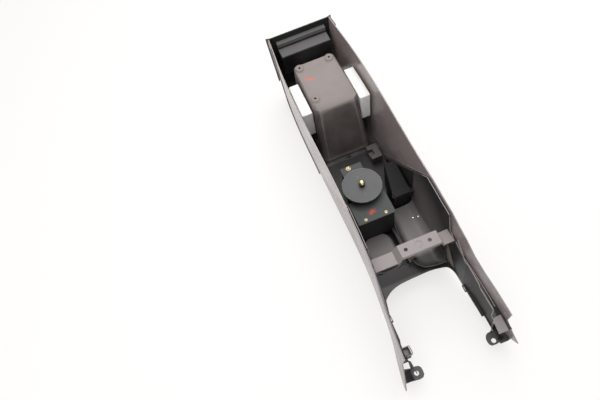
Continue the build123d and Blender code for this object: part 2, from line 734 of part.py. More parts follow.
housing_low = sill_z + plate
housing_top = drive_plate_z - plate
with BuildPart() as drive_housing:
    add(drive_outline(housing_inset, housing_low, housing_top))
    add(drive_outline(housing_inset + wall, housing_low - 1, housing_top - wall), mode=Mode.SUBTRACT)
    add(rod((drive_x, drive_y), bush_r + wall, housing_top - bush_length, housing_top))
    add(rod((drive_x, drive_y), bush_r, housing_low - 1, housing_top + 1), mode=Mode.SUBTRACT)
    add(block((well_x - fit_gap, reach), (well_front_y, well_rear_y + fit_gap),
              (housing_low - 1, well_z + fit_gap)), mode=Mode.SUBTRACT)
    add(block((tray_left_x - 1, tray_right_x + 1), (tray_front_y - 1, tray_rear_y + 1),
              (housing_low - 1, tray_floor_z + 2)), mode=Mode.SUBTRACT)
save(drive_housing.part, "drive_housing")

screw_spots = [(drive_x - small_screw_x, drive_y + small_screw_y),
               (drive_x + small_screw_x, drive_y + small_screw_y)]
big_spot = (drive_x + big_screw[0], drive_y + big_screw[1])
with BuildPart() as drive_plate:
    add(drive_outline(0.0, housing_top, drive_plate_z))
    with Locations((drive_x, drive_y, drive_plate_z)):
        Cylinder(bush_r, 4 * plate, mode=Mode.SUBTRACT)
    with Locations(*[(drive_x + side * recess_x, drive_y + recess_y, drive_plate_z) for side in (-1, 1)]):
        Cylinder(2.4, 2, mode=Mode.SUBTRACT)
save(drive_plate.part, "drive_plate")

with BuildPart() as drive_disc:
    add(rod((drive_x, drive_y), disc_r, disc_z - disc_thick, disc_z))
    chamfer(drive_disc.faces().sort_by(Axis.Z)[0].edges(), 1.6)
    add(rod((drive_x, drive_y), hub_r, drive_plate_z + bush_flange + fit_gap, disc_z - disc_thick))
    with Locations(*[(drive_x, drive_y + side * disc_pin_y, disc_z) for side in (-1, 1)]):
        Cylinder(2.1, 4, mode=Mode.SUBTRACT)
    add(rod((drive_x, drive_y), spindle_r, 0, height), mode=Mode.SUBTRACT)
save(drive_disc.part, "drive_disc")

with BuildPart() as spindle:
    add(rod((drive_x, drive_y), spindle_r, knob_z[0] + 4, spindle_top_z))
save(spindle.part, "spindle")

bush_bore = spindle_r + hinge_clearance
with BuildPart() as bush_upper:
    add(rod((drive_x, drive_y), bush_r, housing_top - bush_length, drive_plate_z))
    add(rod((drive_x, drive_y), bush_r + 3, drive_plate_z, drive_plate_z + bush_flange))
    add(rod((drive_x, drive_y), bush_bore, 0, height), mode=Mode.SUBTRACT)
save(bush_upper.part, "bush_upper")
with BuildPart() as bush_lower:
    add(rod((drive_x, drive_y), bush_r, sill_z, sill_z + plate))
    add(rod((drive_x, drive_y), bush_r + 3, sill_z + plate, sill_z + plate + bush_flange))
    add(rod((drive_x, drive_y), bush_bore, 0, height), mode=Mode.SUBTRACT)
save(bush_lower.part, "bush_lower")

drive_plane = Plane(origin=(drive_x, drive_y, 0), x_dir=(1, 0, 0), z_dir=(0, -1, 0))
drive_axis = Axis((drive_x, drive_y, 0), (0, 0, 1))
with BuildPart() as cap_nut:
    with BuildSketch(drive_plane):
        with BuildLine():
            dome_z = cap_z - cap_r
            shank = Polyline((0, spindle_top_z), (spindle_r, spindle_top_z), (spindle_r, disc_z),
                             (cap_neck_r, disc_z), (cap_neck_r, cap_neck_z), (cap_r, cap_neck_z + 1.5),
                             (cap_r, dome_z))
            crown = CenterArc((0, dome_z), cap_r, 0, 90)
            Line(crown @ 1, shank @ 0)
        make_face()
    revolve(axis=drive_axis)
save(cap_nut.part, "cap_nut")

with BuildPart() as rotary_knob:
    add(rod((drive_x, drive_y), knob_r, knob_z[0], knob_z[1]))
    fillet(rotary_knob.faces().sort_by(Axis.Z)[0].edges(), 3.0)
    add(rod((drive_x, drive_y), spindle_r, knob_z[0] + 4, height), mode=Mode.SUBTRACT)
save(rotary_knob.part, "rotary_knob")


def screw_head(spot, radius, rise):
    """Domed screw head standing on the drive's plate."""
    with BuildPart() as head:
        with Locations((spot[0], spot[1], drive_plate_z)):
            Cylinder(radius, rise, align=(Align.CENTER, Align.CENTER, Align.MIN))
        fillet(head.faces().sort_by(Axis.Z)[-1].edges(), rise * 0.6)
    return head.part


save(screw_head(big_spot, 7.2, 5.0), "plate_screw_large")
with BuildPart() as plate_screws_small:
    for spot in screw_spots:
        add(screw_head(spot, 3.9, 2.4))
save(plate_screws_small.part, "plate_screws_small")

# Accessory box beside the drive: a tapering case with a flange between two screw bosses
box_plan = [(box_front[0], box_y[0]), (box_front[1], box_y[0]), (box_rear[1], box_y[1]),
            (box_rear[0], box_y[1])]
with BuildPart() as accessory_box:
    add(plan_prism(box_plan, sill_z + plate, box_z))
    fillet(accessory_box.edges().filter_by(Axis.Z), 4.0)
    fillet(accessory_box.faces().sort_by(Axis.Z)[-1].edges(), 3.0)
    add(hull_fit, mode=Mode.INTERSECT)
    add(block(box_boss_x, (box_boss_y - 3, box_y[0] + 3), (box_flange_z - box_flange_rise, box_flange_z)))
    for x in box_boss_x:
        add(rod((x, box_boss_y), box_boss_r, box_flange_z - 2 * box_flange_rise, box_flange_z + 1.5))
    for x in box_boss_x:
        add(rod((x, box_boss_y), box_boss_hole_r, box_flange_z - 12, box_flange_z + 5),
            mode=Mode.SUBTRACT)
save(accessory_box.part, "accessory_box")

# Hook block at the foot of the bin
with BuildPart() as hook_block:
    add(block(hook_x, hook_y, (sill_z + plate, hook_z), 3.0))
    add(block((hook_x[0] - 1, hook_x[0] + 14), (hook_y[0] + 14, hook_y[1] - 16),
              (hook_z - 12, hook_z + 1), 2.0), mode=Mode.SUBTRACT)
save(hook_block.part, "hook_block")
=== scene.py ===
"""A car center console lying upside down on a bench: its looks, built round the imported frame."""

import logging
import math
from dataclasses import dataclass
from enum import Enum

import bmesh
import bpy
import numpy as np
from mathutils import Euler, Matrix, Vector, noise
from mathutils.bvhtree import BVHTree


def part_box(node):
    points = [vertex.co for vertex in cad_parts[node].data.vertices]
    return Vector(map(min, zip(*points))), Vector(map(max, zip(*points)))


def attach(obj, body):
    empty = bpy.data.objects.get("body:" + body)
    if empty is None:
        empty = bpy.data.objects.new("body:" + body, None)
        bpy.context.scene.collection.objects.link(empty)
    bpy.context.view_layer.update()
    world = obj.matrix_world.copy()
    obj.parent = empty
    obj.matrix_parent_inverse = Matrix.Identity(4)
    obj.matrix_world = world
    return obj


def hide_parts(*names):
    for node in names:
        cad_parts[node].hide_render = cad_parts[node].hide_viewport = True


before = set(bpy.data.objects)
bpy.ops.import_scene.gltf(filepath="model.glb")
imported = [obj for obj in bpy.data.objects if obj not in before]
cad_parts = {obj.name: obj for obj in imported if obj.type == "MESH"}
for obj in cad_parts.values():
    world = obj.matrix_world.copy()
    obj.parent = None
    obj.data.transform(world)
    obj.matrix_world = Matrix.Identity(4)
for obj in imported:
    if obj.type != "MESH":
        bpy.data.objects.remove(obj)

LOG = logging.getLogger("console")
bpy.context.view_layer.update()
MM = 0.001
PHOTO_WIDTH = 600.0
SENSOR_MM = 36.0
SHELL_HEIGHT = 260.0
JOIN_MM = 0.01
BEVEL_SAMPLES = 6
EDGE_LEAN = (0.995, 0.86)
CREASE_DEG = 30.0
FINE_OCTAVES = 4.0
DEEP_OCTAVES = 5.0

Tree = bpy.types.NodeTree
Socket = bpy.types.NodeSocket
Mesh = bpy.types.Mesh
Value = Socket | float | tuple
Pair = tuple[float, float]
Spot = tuple[float, float, float]
Spots = list[Spot] | tuple[Spot, ...]


class Body(Enum):
    """The bodies of the frame that the built pieces ride on."""

    CONSOLE = "console"
    LID = "lid"
    DRIVE = "drive"


def point(x: float, y: float, z: float) -> Vector:
    """Turns a place in millimetres into the frame's metres."""
    return Vector((x, y, z)) * MM


def linear(code: str) -> tuple[float, float, float, float]:
    """Turns an sRGB hex colour into linear light.

    Args:
        code: the colour as "#rrggbb".

    Returns:
        Red, green, blue and alpha as shader sockets take them.
    """
    shares = [int(code[i:i + 2], 16) / 255 for i in (1, 3, 5)]
    light = [s / 12.92 if s <= 0.04045 else ((s + 0.055) / 1.055) ** 2.4 for s in shares]
    return (*light, 1.0)


def linked(name: str, data: bpy.types.ID) -> bpy.types.Object:
    """Makes an object of a mesh, a lamp or a camera and links it to the scene.

    Args:
        name: the object's name.
        data: what it shows.

    Returns:
        The object.
    """
    thing = bpy.data.objects.new(name, data)
    bpy.context.scene.collection.objects.link(thing)
    return thing


def add(tree: Tree, kind: str, fill: dict | None = None, **settings: Value | str | bool) -> bpy.types.Node:
    """Adds one node with its settings, values and links.

    Args:
        tree: the material's or geometry tree.
        kind: the node's type.
        fill: socket name or number to a value or an output socket.
        settings: attributes of the node itself.

    Returns:
        The new node.
    """
    node = tree.nodes.new(kind)
    for key, value in settings.items():
        setattr(node, key, value)
    for key, value in (fill or {}).items():
        if isinstance(value, Socket):
            tree.links.new(value, node.inputs[key])
        else:
            node.inputs[key].default_value = value
    return node


def new_material(name: str) -> tuple[bpy.types.Material, Tree, Socket]:
    """Starts an empty node material.

    Args:
        name: what the material is.

    Returns:
        The material, its tree and the Object coordinates' socket.
    """
    material = bpy.data.materials.new(name)
    material.use_nodes = True
    tree = material.node_tree
    tree.nodes.clear()
    return material, tree, add(tree, "ShaderNodeTexCoord").outputs["Object"]


def close_material(tree: Tree, tint: Socket, rough: Socket, bump: dict, surface: dict) -> None:
    """Ends a material in one Principled shader over a bump.

    Args:
        tree: the material's tree.
        tint: the colour.
        rough: the roughness.
        bump: the bump's sockets and their values.
        surface: the shader's other sockets and their values.
    """
    raised = add(tree, "ShaderNodeBump", bump)
    shader = add(tree, "ShaderNodeBsdfPrincipled", {"Base Color": tint, "Roughness": rough,
                                                    "Normal": raised.outputs[0], **surface})
    add(tree, "ShaderNodeOutputMaterial", {"Surface": shader.outputs[0]})


def ranged(tree: Tree, value: Socket, source: Pair = (0.0, 1.0), result: Pair = (0.0, 1.0)) -> Socket:
    """Maps a value from the ends of one range to those of another and keeps it between them."""
    ends = {"From Min": source[0], "From Max": source[1], "To Min": result[0], "To Max": result[1]}
    return add(tree, "ShaderNodeMapRange", {"Value": value, **ends}).outputs[0]


def noise_of(tree: Tree, place: Socket, grain_mm: float, detail: float = 3.0,
             spread: Pair = (0.35, 0.65)) -> Socket:
    """Noise of a real grain size, of which the two values of spread become 0 and 1."""
    pattern = add(tree, "ShaderNodeTexNoise",
                  {"Vector": place, "Scale": 1 / (grain_mm * MM), "Detail": detail})
    return ranged(tree, pattern.outputs[0], spread)


def math_of(tree: Tree, operation: str, a: Value, b: Value, clamp: bool = True) -> Socket:
    """Does one sum on two values or sockets and keeps it between 0 and 1, unless clamp is off."""
    return add(tree, "ShaderNodeMath", {0: a, 1: b}, operation=operation, use_clamp=clamp).outputs[0]


def vector_of(tree: Tree, operation: str, a: Value, b: Value = (0.0, 0.0, 0.0)) -> Socket:
    """Does one sum on two vectors or sockets, such as SUBTRACT, or on one, such as LENGTH."""
    node = add(tree, "ShaderNodeVectorMath", {0: a, 1: b}, operation=operation)
    return node.outputs["Value" if operation in {"LENGTH", "DOT_PRODUCT"} else "Vector"]


def mixed(tree: Tree, share: Value, first: Value, second: Value) -> Socket:
    """Mixes two colours or sockets, where a share of 0 gives the first."""
    return add(tree, "ShaderNodeMix", {0: share, 6: first, 7: second}, data_type="RGBA").outputs[2]


def edge_mask(tree: Tree, radius_mm: float) -> tuple[Socket, Socket]:
    """Finds edges by how far a rounded normal leans from the face's own.

    Args:
        tree: the material's tree.
        radius_mm: how wide the edge's rounding is.

    Returns:
        The rounded normal's socket and the mask's socket.
    """
    rounded = add(tree, "ShaderNodeBevel", {"Radius": radius_mm * MM}, samples=BEVEL_SAMPLES).outputs[0]
    face = add(tree, "ShaderNodeNewGeometry")
    lean = vector_of(tree, "DOT_PRODUCT", rounded, face.outputs["Normal"])
    return rounded, ranged(tree, lean, EDGE_LEAN)


@dataclass(frozen=True)
class Dab:
    """A brushed dab of marking paint on a flat face, with no writing in it."""

    colour: str
    centre: Spot
    half_size: Pair
    turn_deg: float
    cover: float
    ragged: float
    brush_mm: float = 5.0
    thick_mm: float = 4.0
    fade: Pair = (1.2, 0.6)

    def mask(self, tree: Tree, place: Socket) -> Socket:
        """Gives where the dab covers.

        Args:
            tree: the material's tree.
            place: Object coordinates.

        Returns:
            The socket of the cover, 0 to 1.
        """
        centred = add(tree, "ShaderNodeMapping",
                      {"Vector": place, "Location": point(*self.centre),
                       "Rotation": (0, 0, math.radians(self.turn_deg)),
                       "Scale": point(*self.half_size, self.thick_mm)}, vector_type="TEXTURE")
        reach = vector_of(tree, "LENGTH", centred.outputs[0])
        streaks = noise_of(tree, place, self.brush_mm, FINE_OCTAVES)
        loose = math_of(tree, "MULTIPLY", streaks, self.ragged)
        edge = math_of(tree, "ADD", reach, loose, clamp=False)
        return ranged(tree, edge, self.fade, (0.0, self.cover))


@dataclass(frozen=True)
class Zone:
    """A box of a moulding given another colour, soft at its borders; most zones are painted light or shade.
    """

    colour: str
    low: Spot
    high: Spot
    soft_mm: float

    def mask(self, tree: Tree, place: Socket) -> Socket:
        """Gives where the zone lies, soft at its borders.

        Args:
            tree: the material's tree.
            place: Object coordinates.

        Returns:
            The socket of the cover, 0 to 1.
        """
        low, high = point(*self.low), point(*self.high)
        span = vector_of(tree, "ABSOLUTE", vector_of(tree, "SUBTRACT", place, (low + high) / 2))
        left = vector_of(tree, "SUBTRACT", (high - low) / 2, span)
        x, y, z = add(tree, "ShaderNodeSeparateXYZ", {0: left}).outputs
        least = math_of(tree, "MINIMUM", math_of(tree, "MINIMUM", x, y, False), z, False)
        return ranged(tree, least, (0.0, self.soft_mm * MM))


@dataclass(frozen=True)
class MouldedPlastic:
    """Injection-moulded ABS or polypropylene: dull, finely eroded grain, edges lighter where scuffed and with
    painted highlight, and zones, mostly of painted light or shade.
    """

    name: str
    base: str
    dust_wear_highlight_tone: str
    rough: float
    grain_mm: float = 1.6
    grain_spread: Pair = (0.3, 0.7)
    bump_mm: float = 0.05
    blotch_mm: float = 70.0
    dust: float = 0.25
    edge_wear_highlight_share: float = 0.5
    edge_mm: float = 0.9
    specular: float = 0.5
    rough_stray: Pair = (-0.05, 0.07)
    zones: tuple[Zone, ...] = ()
    dabs: tuple[Dab, ...] = ()

    def material(self) -> bpy.types.Material:
        """Builds the plastic. Its grain is drawn coarser than the real 0.3 mm, so that it shows.

        Returns:
            The material.
        """
        material, tree, place = new_material(self.name)
        grain = noise_of(tree, place, self.grain_mm, FINE_OCTAVES, self.grain_spread)
        blotch = noise_of(tree, place, self.blotch_mm, DEEP_OCTAVES)
        rounded, edge = edge_mask(tree, self.edge_mm)
        # Lighter edges: scuffing, and painted highlight along rims and the disc's edge.
        edge_wear_and_highlight = math_of(tree, "MULTIPLY", edge, self.edge_wear_highlight_share)
        dusty = math_of(tree, "MULTIPLY", math_of(tree, "MULTIPLY", blotch, grain), self.dust)
        ground = linear(self.base)
        # Zones paint another colour over the moulding's own: mostly painted light or shade.
        for zone in self.zones:
            ground = mixed(tree, zone.mask(tree, place), ground, linear(zone.colour))
        tint = mixed(tree, math_of(tree, "ADD", edge_wear_and_highlight, dusty), ground, linear(self.dust_wear_highlight_tone))
        for dab in self.dabs:
            tint = mixed(tree, dab.mask(tree, place), tint, linear(dab.colour))
        less, more = self.rough_stray
        rough = ranged(tree, blotch, result=(self.rough + less, self.rough + more))
        close_material(tree, tint, rough,
                       {"Height": grain, "Distance": self.bump_mm * MM, "Normal": rounded},
                       {"Specular IOR Level": self.specular})
        return material


@dataclass(frozen=True)
class TurnedMetal:
    """Turned or drawn metal: bright edges, fine scratches across the light, dull tarnish."""

    name: str
    base: str
    tarnish: str
    rough: float
    scratch_mm: float = 1.2
    scratch_depth_mm: float = 0.02
    stretch: float = 6.0
    tarnish_mm: float = 4.0
    tarnished: float = 0.5
    edge_mm: float = 0.5
    bright: str = "#e8e4da"
    brightened: float = 0.7
    rough_stray: Pair = (-0.08, 0.14)
    dark: str = "#1d1712"
    dark_soft_mm: float = 1.0
    dark_under_z: float | None = None

    def material(self) -> bpy.types.Material:
        """Builds the metal. The scratches are drawn wider than real ones, so that they show.

        Returns:
            The material.
        """
        material, tree, place = new_material(self.name)
        stretched = add(tree, "ShaderNodeMapping", {"Vector": place, "Scale": (1.0, 1.0, self.stretch)})
        scratch = noise_of(tree, stretched.outputs[0], self.scratch_mm, DEEP_OCTAVES)
        spots = noise_of(tree, place, self.tarnish_mm, FINE_OCTAVES)
        rounded, edge = edge_mask(tree, self.edge_mm)
        dull = math_of(tree, "MULTIPLY", spots, self.tarnished)
        tint = mixed(tree, dull, linear(self.base), linear(self.tarnish))
        tint = mixed(tree, math_of(tree, "MULTIPLY", edge, self.brightened), tint, linear(self.bright))
        if self.dark_under_z is not None:
            height = add(tree, "ShaderNodeSeparateXYZ", {0: place}).outputs["Z"]
            z, soft = self.dark_under_z, self.dark_soft_mm
            shank = ranged(tree, height, ((z + soft) * MM, (z - soft) * MM))
            tint = mixed(tree, shank, tint, linear(self.dark))
        less, more = self.rough_stray
        rough = ranged(tree, scratch, result=(self.rough + less, self.rough + more))
        close_material(tree, tint, rough,
                       {"Height": scratch, "Distance": self.scratch_depth_mm * MM, "Normal": rounded},
                       {"Metallic": 1.0})
        return material


@dataclass(frozen=True)
class BeadFoam:
    """Expanded polystyrene, hot-wire cut: white beads pressed flat against each other, no shine."""

    name: str
    base: str
    seam: str
    bead_mm: float = 3.4
    seam_reach: float = 0.12
    seam_tint: float = 0.55
    seam_depth_mm: float = 0.25
    cloud_mm: float = 24.0
    cloud_tint: float = 0.18
    rough: Pair = (0.78, 0.95)
    glow: float = 0.15
    glow_m: float = 0.004

    def material(self) -> bpy.types.Material:
        """Builds the foam from cells of one bead's size, with darker seams between them.

        Returns:
            The material.
        """
        material, tree, place = new_material(self.name)
        beads = add(tree, "ShaderNodeTexVoronoi",
                    {"Vector": place, "Scale": 1 / (self.bead_mm * MM)}, feature="DISTANCE_TO_EDGE")
        bead = ranged(tree, beads.outputs[0], (0.0, self.seam_reach))
        cloud = noise_of(tree, place, self.cloud_mm)
        between = ranged(tree, bead, result=(self.seam_tint, 0.0))
        tint = mixed(tree, between, linear(self.base), linear(self.seam))
        tint = mixed(tree, math_of(tree, "MULTIPLY", cloud, self.cloud_tint), tint, linear(self.seam))
        close_material(tree, tint, ranged(tree, cloud, result=self.rough),
                       {"Height": bead, "Distance": self.seam_depth_mm * MM},
                       {"Subsurface Weight": self.glow, "Subsurface Scale": self.glow_m})
        return material


@dataclass(frozen=True)
class GrainedLeather:
    """Corrected-grain leather: small raised pebbles with creases between them, satin."""

    name: str
    base: str
    crease: str
    pebble_mm: float = 2.2
    pebble_reach: float = 0.28
    pebble_rise_mm: float = 0.18
    warp_mm: float = 9.0
    warp_m: float = 0.0012
    cloud_mm: float = 40.0
    cloud_tint: float = 0.3
    rough: Pair = (0.66, 0.46)

    def material(self) -> bpy.types.Material:
        """Builds the leather. The pebbles are about twice the real size, so that they show.

        Returns:
            The material.
        """
        material, tree, place = new_material(self.name)
        warp = add(tree, "ShaderNodeTexNoise", {"Vector": place, "Scale": 1 / (self.warp_mm * MM)})
        bent = vector_of(tree, "MULTIPLY", warp.outputs[1], (self.warp_m,) * 3)
        pebble = add(tree, "ShaderNodeTexVoronoi",
                     {"Vector": vector_of(tree, "ADD", place, bent), "Scale": 1 / (self.pebble_mm * MM)},
                     feature="DISTANCE_TO_EDGE")
        raised = ranged(tree, pebble.outputs[0], (0.0, self.pebble_reach))
        cloud = noise_of(tree, place, self.cloud_mm)
        tint = mixed(tree, raised, linear(self.crease), linear(self.base))
        tint = mixed(tree, math_of(tree, "MULTIPLY", cloud, self.cloud_tint), tint, linear(self.crease))
        close_material(tree, tint, ranged(tree, raised, result=self.rough),
                       {"Height": raised, "Distance": self.pebble_rise_mm * MM}, {})
        return material


BIN_DAB = Dab("#d9664c", (-33.0, 348.0, 217.6), (19.0, 10.0), -24.0, 0.6, 0.7)
PLATE_DAB = Dab("#bb4a28", (-38.0, -98.0, 150.0), (15.0, 10.0), 18.0, 0.9, 0.7)
# Painted shade: the bin darker low down, deep between the walls where shade falls.
BIN_FOOT_PAINTED_SHADE = Zone("#242121", (-110.0, 100.0, 0.0), (110.0, 480.0, 36.0), 4.0)
WRAP_ZONE = Zone("#978c89", (-120.0, 430.0, 0.0), (-86.5, 508.0, 262.0), 1.0)
# Painted shade: the bin's front face, turned from the lamps, darker.
BIN_FRONT_PAINTED_SHADE = Zone("#544d4b", (-90.0, 120.0, 30.0), (90.0, 236.0, 216.0), 14.0)
# Painted shade: the housing's front face, near black as it lies in shadow.
HOUSING_FACE_PAINTED_SHADE = Zone("#151414", (-90.0, 440.0, 60.0), (90.0, 540.0, 219.5), 3.0)
# Painted shade: the upright riser between the housing's steps, turned from the top lamp.
HOUSING_RISER_PAINTED_SHADE = Zone("#1f1e1e", (-90.0, 499.4, 221.0), (90.0, 502.6, 229.0), 0.8)
# Painted light: the fascia's upturned face lighter than the rest of the moulding, where the top lamp falls.
FASCIA_PAINTED_LIGHT = Zone("#5f5b5b", (-118.0, -345.0, 0.0), (55.0, -258.0, 62.0), 8.0)
# Painted shade: the right leg's inner wall near black.
LEG_PAINTED_SHADE = Zone("#0f0d0e", (88.0, -470.0, 0.0), (150.0, -262.0, 260.0), 10.0)
TAB_ZONE = Zone("#4c4949", (-160.0, -530.0, 0.0), (160.0, -468.0, 58.0), 6.0)
# Painted light: the right inner wall above the well, lighter where light falls on it.
WALL_PAINTED_LIGHT = Zone("#6b6666", (60.0, -226.0, 30.0), (101.5, -58.0, 262.0), 6.0)
# Painted shadow: the bowl's front under the cross bracket, darkened as the bracket shades it.
WELL_FRONT_PAINTED_SHADOW = Zone("#2b2828", (-10.0, -290.0, 0.0), (120.0, -208.0, 100.0), 14.0)
# Painted shade: the bowl's steep left side darker, behind the divider.
WELL_SIDE_PAINTED_SHADE = Zone("#2e2b2b", (0.0, -262.0, 0.0), (36.0, -60.0, 70.0), 16.0)
# Painted light: the right leg's shelf lighter where its top catches the light.
SHELF_PAINTED_LIGHT = Zone("#8d8786", (100.0, -500.0, 98.0), (126.0, -460.0, 126.0), 2.0)


class Finish(Enum):
    """Every finish of the console, by what it is made of and how."""

    BODY = MouldedPlastic("moulded_abs_body", "#262424", "#8f8986", 0.46, dust=0.12, edge_wear_highlight_share=0.75,
                          edge_mm=1.2, specular=0.3,
                          zones=(FASCIA_PAINTED_LIGHT, LEG_PAINTED_SHADE, TAB_ZONE, SHELF_PAINTED_LIGHT, WALL_PAINTED_LIGHT))
    WELL = MouldedPlastic("moulded_abs_well", "#7f7a7a", "#9a9491", 0.42, dust=0.2, specular=0.4,
                          zones=(WELL_FRONT_PAINTED_SHADOW, WELL_SIDE_PAINTED_SHADE))
    # Painted highlight: the rolled beads are pale, standing in for the light along the rims.
    RIM_PAINTED_HIGHLIGHT = MouldedPlastic("moulded_abs_rolled_rim_painted_highlight", "#8f8886", "#c9c2bf", 0.36, dust=0.2)
    TRAY = MouldedPlastic("moulded_abs_tray", "#7b7676", "#8a8684", 0.5, dust=0.2, specular=0.35)
    PANEL = MouldedPlastic("moulded_pp_panel", "#978c89", "#bcb2af", 0.24, bump_mm=0.015, dust=0.3,
                           specular=0.8)
    TRIM = MouldedPlastic("moulded_abs_trim", "#8f8582", "#b8aeab", 0.28, bump_mm=0.015, specular=0.7)
    REAR = MouldedPlastic("moulded_abs_rear", "#1b211d", "#4f5552", 0.42, bump_mm=0.012, dust=0.12,
                          specular=0.35, zones=(WRAP_ZONE,))
    HOUSING = MouldedPlastic("moulded_pp_step_housing", "#5f5d5d", "#807d7c", 0.6, dust=0.2, edge_wear_highlight_share=0.3,
                             specular=0.3, zones=(HOUSING_FACE_PAINTED_SHADE, HOUSING_RISER_PAINTED_SHADE))
    ASHTRAY = MouldedPlastic("moulded_phenolic_ashtray", "#2a2928", "#5a5856", 0.45)
    BIN = MouldedPlastic("moulded_pp_bin", "#857c79", "#aaa29f", 0.6, dust=0.35, dabs=(BIN_DAB,),
                         specular=0.35, zones=(BIN_FOOT_PAINTED_SHADE, BIN_FRONT_PAINTED_SHADE))
    BRACKET = MouldedPlastic("moulded_nylon_bracket", "#8f8786", "#b9b2b1", 0.6)
    DRIVE_HOUSING = MouldedPlastic("moulded_nylon_housing", "#1a1919", "#3c3a39", 0.5, dust=0.1,
                                   specular=0.3)
    BOX = MouldedPlastic("moulded_abs_box", "#191818", "#6a6765", 0.55, dust=0.08, edge_wear_highlight_share=0.4, specular=0.15)
    HOOK = MouldedPlastic("moulded_abs_hook", "#4a4747", "#77736f", 0.5)
    LID = MouldedPlastic("moulded_abs_lid", "#2b2928", "#5c5857", 0.42)
    LATCH = MouldedPlastic("moulded_abs_latch", "#232222", "#5c5a58", 0.4)
    KNOB = MouldedPlastic("moulded_abs_knob", "#1f1e1e", "#5e5b59", 0.34)
    PLATE = MouldedPlastic("powder_coated_steel_plate", "#343737", "#7f8381", 0.48,
                           bump_mm=0.03, dust=0.2, edge_wear_highlight_share=0.8, specular=0.35, dabs=(PLATE_DAB,))
    # Painted highlight: the near-white edge tone on the disc's lit rim, with some scuffed paint too.
    DISC = MouldedPlastic("powder_coated_steel_disc", "#4e4e50", "#dadad8", 0.46,
                          bump_mm=0.03, dust=0.08, edge_wear_highlight_share=1.0, edge_mm=1.0, specular=0.35)
    BRASS = TurnedMetal("turned_brass", "#e6d4a6", "#8a6a3a", 0.22)
    NUT = TurnedMetal("turned_brass_nut", "#e8d8ac", "#8a6a3a", 0.18, dark_under_z=184.5)
    STEEL = TurnedMetal("drawn_steel", "#8b8b8c", "#4d4946", 0.34)
    PIP = TurnedMetal("polished_steel_rivet", "#f2f2f0", "#a8a6a2", 0.14, tarnished=0.2)
    FOAM = BeadFoam("hot_wire_cut_polystyrene", "#fdfdfc", "#dfdcd5")
    LEATHER = GrainedLeather("corrected_grain_leather", "#2a2726", "#131110")
    THREAD = MouldedPlastic("bonded_nylon_thread", "#5a5552", "#8d8682", 0.55, 0.8, bump_mm=0.08)

    def material(self) -> bpy.types.Material:
        """The built material, made the first time it is asked for."""
        found = bpy.data.materials.get(self.value.name)
        return found or self.value.material()


def dress(finishes: dict[str, Finish]) -> None:
    """Gives CAD nodes their materials and leaves their meshes alone.

    Args:
        finishes: each node's name and what it is made of.
    """
    for node, finish in finishes.items():
        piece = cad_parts[node]
        if not piece.material_slots:
            piece.data.materials.append(None)
        for place in piece.material_slots:
            place.material = finish.material()
        LOG.info("dressed %s in %s", node, finish.value.name)


def new_piece(name: str, mesh: Mesh, body: Body, slot: str, *replaced: str) -> bpy.types.Object:
    """Links a finished mesh as a piece of the console.

    Args:
        name: the piece's name.
        mesh: its mesh, in place.
        body: what it rides on.
        slot: the record's material slot; not used.
        replaced: CAD nodes that it stands for.

    Returns:
        The piece.
    """
    mesh.name = name
    piece = linked(name, mesh)
    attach(piece, body.value)
    if replaced:
        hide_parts(*replaced)
    LOG.info("built %s with %d faces", name, len(mesh.polygons))
    return piece


def baked(source: bpy.types.Object) -> Mesh:
    """Turns an object with live modifiers into a plain mesh and removes the object.

    Args:
        source: the object.

    Returns:
        The mesh.
    """
    graph = bpy.context.evaluated_depsgraph_get()
    mesh = bpy.data.meshes.new_from_object(source.evaluated_get(graph), depsgraph=graph)
    bpy.data.objects.remove(source)
    return mesh


def worked(name: str, mesh: Mesh, **steps: dict) -> Mesh:
    """Runs modifiers on a mesh, one after the other.

    Args:
        name: the piece's name.
        mesh: what they start from.
        steps: each modifier's kind and its settings.

    Returns:
        The new mesh.
    """
    holder = linked(f"{name}_blank", mesh)
    for kind, settings in steps.items():
        modifier = holder.modifiers.new(kind.lower(), kind)
        for key, value in settings.items():
            setattr(modifier, key, value)
    return baked(holder)


def grown(name: str, tree: Tree, carrier: Mesh, sizes: dict) -> Mesh:
    """Runs a geometry tree on a carrier and returns its plain result.

    Args:
        name: the name of what grows.
        tree: the geometry tree.
        carrier: the mesh that the tree starts from.
        sizes: the tree's inputs by name.

    Returns:
        The mesh, with its material.
    """
    holder = linked(f"{name}_carrier", carrier)
    modifier = holder.modifiers.new("grow", "NODES")
    modifier.node_group = tree
    sockets = {s.name: s.identifier for s in tree.interface.items_tree if s.in_out == "INPUT"}
    for key, value in sizes.items():
        modifier[sockets[key]] = value
    return baked(holder)


def new_tree(name: str, sizes: dict[str, str]) -> tuple[Tree, dict]:
    """Starts a geometry tree with named inputs.

    Args:
        name: the tree's name.
        sizes: input name to socket kind, such as Float or Material.

    Returns:
        The tree and its input sockets by name.
    """
    tree = bpy.data.node_groups.new(name, "GeometryNodeTree")
    for key, kind in {"Geometry": "Geometry", **sizes}.items():
        tree.interface.new_socket(key, in_out="INPUT", socket_type=f"NodeSocket{kind}")
    tree.interface.new_socket("Geometry", in_out="OUTPUT", socket_type="NodeSocketGeometry")
    entry = add(tree, "NodeGroupInput")
    return tree, {s.name: s for s in entry.outputs if s.name}


def end_tree(tree: Tree, shape: Socket, finish: Socket, smooth: bool = True) -> Tree:
    """Realizes the instances, sets the material and closes the tree.

    Args:
        tree: the geometry tree.
        shape: the socket with the instances.
        finish: the socket of the material.
        smooth: whether the faces shade smooth.

    Returns:
        The tree.
    """
    real = add(tree, "GeometryNodeRealizeInstances", {"Geometry": shape})
    shaded = add(tree, "GeometryNodeSetShadeSmooth",
                 {"Geometry": real.outputs[0], "Shade Smooth": smooth})
    dressed = add(tree, "GeometryNodeSetMaterial", {"Geometry": shaded.outputs[0], "Material": finish})
    add(tree, "NodeGroupOutput", {"Geometry": dressed.outputs[0]})
    return tree


